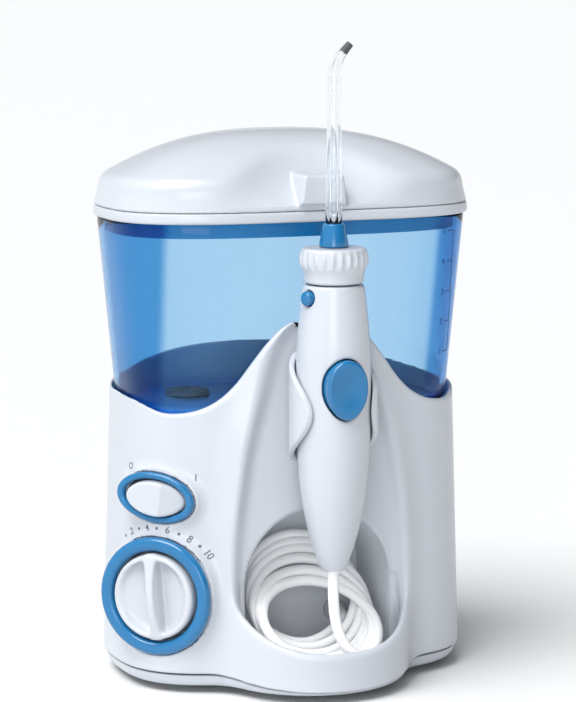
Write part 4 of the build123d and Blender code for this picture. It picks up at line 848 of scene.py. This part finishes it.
def make_marks(shell, tank):
    arc, first, last = 27.8, -38.0, 50.0
    marks = ["*", "2", "*", "4", "*", "6", "*", "8", "*", "10"]
    parts = []
    for i, mark in enumerate(marks):
        turn = first + (last - first) * i / (len(marks) - 1)
        x, y = arc * sin(radians(turn)), arc * cos(radians(turn))
        parts.append(spot(x, y, 0.62) if mark == "*" else lettering(mark, 4.0, x, y, turn))
    drawn_on("dial_marks", parts, shell, control_place(DIAL_Z), INK, "base")
    parts = [lettering("O", 3.6, -14, 10.8), lettering("I", 3.8, 16.3, 8.6)]
    drawn_on("switch_marks", parts, shell, control_place(SWITCH_Z), INK, "base")
    # the level scale near the right-hand edge of the tank's front
    place = Matrix(((1, 0, 0, 60), (0, 0, -1, -40), (0, 1, 0, 152), (0, 0, 0, 1)))
    parts = []
    for i in range(5):
        up = 32 - 12.6 * i
        parts += [bar(1.6 - 0.04 * i, up, 3.2, 0.45, 4), lettering(str(5 - i), 3.6, -2.2, up)]
    tall = bar(0, 0, 50.4, 0.45, 24)
    parts.append(([(3.2 - y, x + 6.8) for x, y in tall[0]], tall[1]))
    drawn_on("level_scale", parts, tank, place, TANK_INK, "tank")


# ---------------------------------------------------------------- hose
def coil_points():
    """The hose from the handle's foot, through the leaning turns of the coil, to its gland."""
    points = list(HOSE_RUN)
    count = COIL_TURNS * COIL_POINTS_PER_TURN
    for i in range(count + 1):
        share = i / count
        y, z, lean = (a + (b - a) * share for a, b in (COIL_Y, COIL_Z, COIL_LEAN))
        lean = radians(lean)
        radius = COIL_R - 0.8 * sin(share * 9)
        turn = radians(-62) + 2 * pi * (COIL_TURNS - 0.05) * share
        across, up = radius * cos(turn), radius * sin(turn)
        points.append((across, y + up * sin(lean), z + up * cos(lean)))
    return points + list(HOSE_TAIL)


def make_hose():
    points = coil_points()
    line = bpy.data.curves.new("coiled_hose", "CURVE")
    line.dimensions, line.bevel_depth, line.bevel_resolution = "3D", HOSE_R * MM, 5
    line.resolution_u, line.use_fill_caps = 5, True
    spline = line.splines.new("NURBS")
    spline.points.add(len(points) - 1)
    for point, at in zip(spline.points, points):
        point.co = (*(Vector(at) * MM), 1)
    spline.order_u, spline.use_endpoint_u = 3, True
    line.materials.append(HOSE)
    hose = bpy.data.objects.new("coiled_hose", line)
    bpy.context.scene.collection.objects.link(hose)
    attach(hose, "base")
    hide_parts("hose_run", "hose_coil", "hose_tail")


# ---------------------------------------------------------------- carried CAD nodes
def dress_nodes():
    slots = {"white_plastic": WHITE, "blue_plastic": BLUE, "tank_plastic": TANK_BLUE,
             "clear_plastic": CLEAR, "grey_rubber": RUBBER, "hose": HOSE, "steel": STEEL,
             "inner_plastic": INNER, "dark_plastic": DARK, "brass": BRASS, "board": BOARD}
    # the bay liner's material carries painted light, the tip tray's painted shade
    special = {"hose_bay": BAY_PAINTED_LIGHT, "tip_tray": TRAY_PAINTED_SHADE, "hose_gland": PALE_RUBBER}
    for row in frame["record"]["subparts"]:
        node = frame["nodes"][row["node"]]
        node.data.materials.clear()
        node.data.materials.append(special.get(row["node"], slots[row["material_slot"]]))


# ---------------------------------------------------------------- stage
FLOOR_REACH = 60.0
SKY_LEFT_TO_RIGHT = (-0.8, 0.7, 0.80, 0.02)
SUN_POWER, SUN_ANGLE, TOWARDS_SUN = 3.5, 42.0, (-0.95, -0.60, 1.9)
FRONT_LAMP_AT, FRONT_LAMP_SIZE, FRONT_LAMP_POWER = (-0.45, -1.20, 0.32), 0.5, 3.0
CAMERA_TURN, CAMERA_DISTANCE, CAMERA_Z, CAMERA_LENS = 20.0, 1.2, 0.305, 148.9
CAMERA_AIM = (0.0047, 0, 0.1316)


def make_stage():
    floor_mesh = bpy.data.meshes.new("floor")
    corners = [(x * FLOOR_REACH, y * FLOOR_REACH, 0) for x, y in ((-1, -1), (1, -1), (1, 1), (-1, 1))]
    floor_mesh.from_pydata(corners, [], [(0, 1, 2, 3)])
    floor_mesh.materials.append(FLOOR)
    floor = bpy.data.objects.new("floor", floor_mesh)
    bpy.context.scene.collection.objects.link(floor)
    world = bpy.data.worlds.new("studio")
    bpy.context.scene.world = world
    world.use_nodes = True
    sky = world.node_tree.nodes["Background"]
    sky.inputs["Color"].default_value = (0.95, 0.975, 1.0, 1)
    nodes, links = world.node_tree.nodes, world.node_tree.links
    place, parts = nodes.new("ShaderNodeTexCoord"), nodes.new("ShaderNodeSeparateXYZ")
    fade = nodes.new("ShaderNodeMapRange")
    for socket, number in zip(("From Min", "From Max", "To Min", "To Max"), SKY_LEFT_TO_RIGHT):
        fade.inputs[socket].default_value = number
    links.new(place.outputs["Generated"], parts.inputs["Vector"])
    links.new(parts.outputs["X"], fade.inputs["Value"])
    # a thin bright band keeps the horizon pale beyond the floor
    band = step_between(nodes, links, parts.outputs["Z"], 0.20, 0.10)
    links.new(combined(nodes, links, "MAXIMUM", fade.outputs["Result"], band), sky.inputs["Strength"])
    sun = bpy.data.lights.new("sun", "SUN")
    sun.energy, sun.angle = SUN_POWER, radians(SUN_ANGLE)
    holder = bpy.data.objects.new("sun", sun)
    holder.rotation_euler = Vector(TOWARDS_SUN).to_track_quat("Z", "Y").to_euler()
    bpy.context.scene.collection.objects.link(holder)


def make_front_lamp():
    light = bpy.data.lights.new("front", "AREA")
    light.size, light.energy = FRONT_LAMP_SIZE, FRONT_LAMP_POWER
    holder = bpy.data.objects.new("front", light)
    holder.location = FRONT_LAMP_AT
    holder.rotation_euler = (Vector((0, 0, 0.1)) - holder.location).to_track_quat("-Z", "Y").to_euler()
    bpy.context.scene.collection.objects.link(holder)


def make_camera():
    camera = bpy.data.cameras.new("camera")
    camera.sensor_width, camera.lens = 36, CAMERA_LENS
    camera.clip_end = 200
    holder = bpy.data.objects.new("camera", camera)
    turn = radians(CAMERA_TURN)
    holder.location = (-CAMERA_DISTANCE * sin(turn), -CAMERA_DISTANCE * cos(turn), CAMERA_Z)
    holder.rotation_euler = (Vector(CAMERA_AIM) - holder.location).to_track_quat("-Z", "Y").to_euler()
    bpy.context.scene.collection.objects.link(holder)
    bpy.context.scene.camera = holder
    bpy.context.scene.view_settings.view_transform = "Standard"


dress_nodes()
base_shell = make_base()
water_tank = make_tank()
make_lid()
make_handle()
make_tip()
make_controls()
make_marks(base_shell, water_tank)
make_hose()
make_stage()
make_front_lamp()
make_camera()
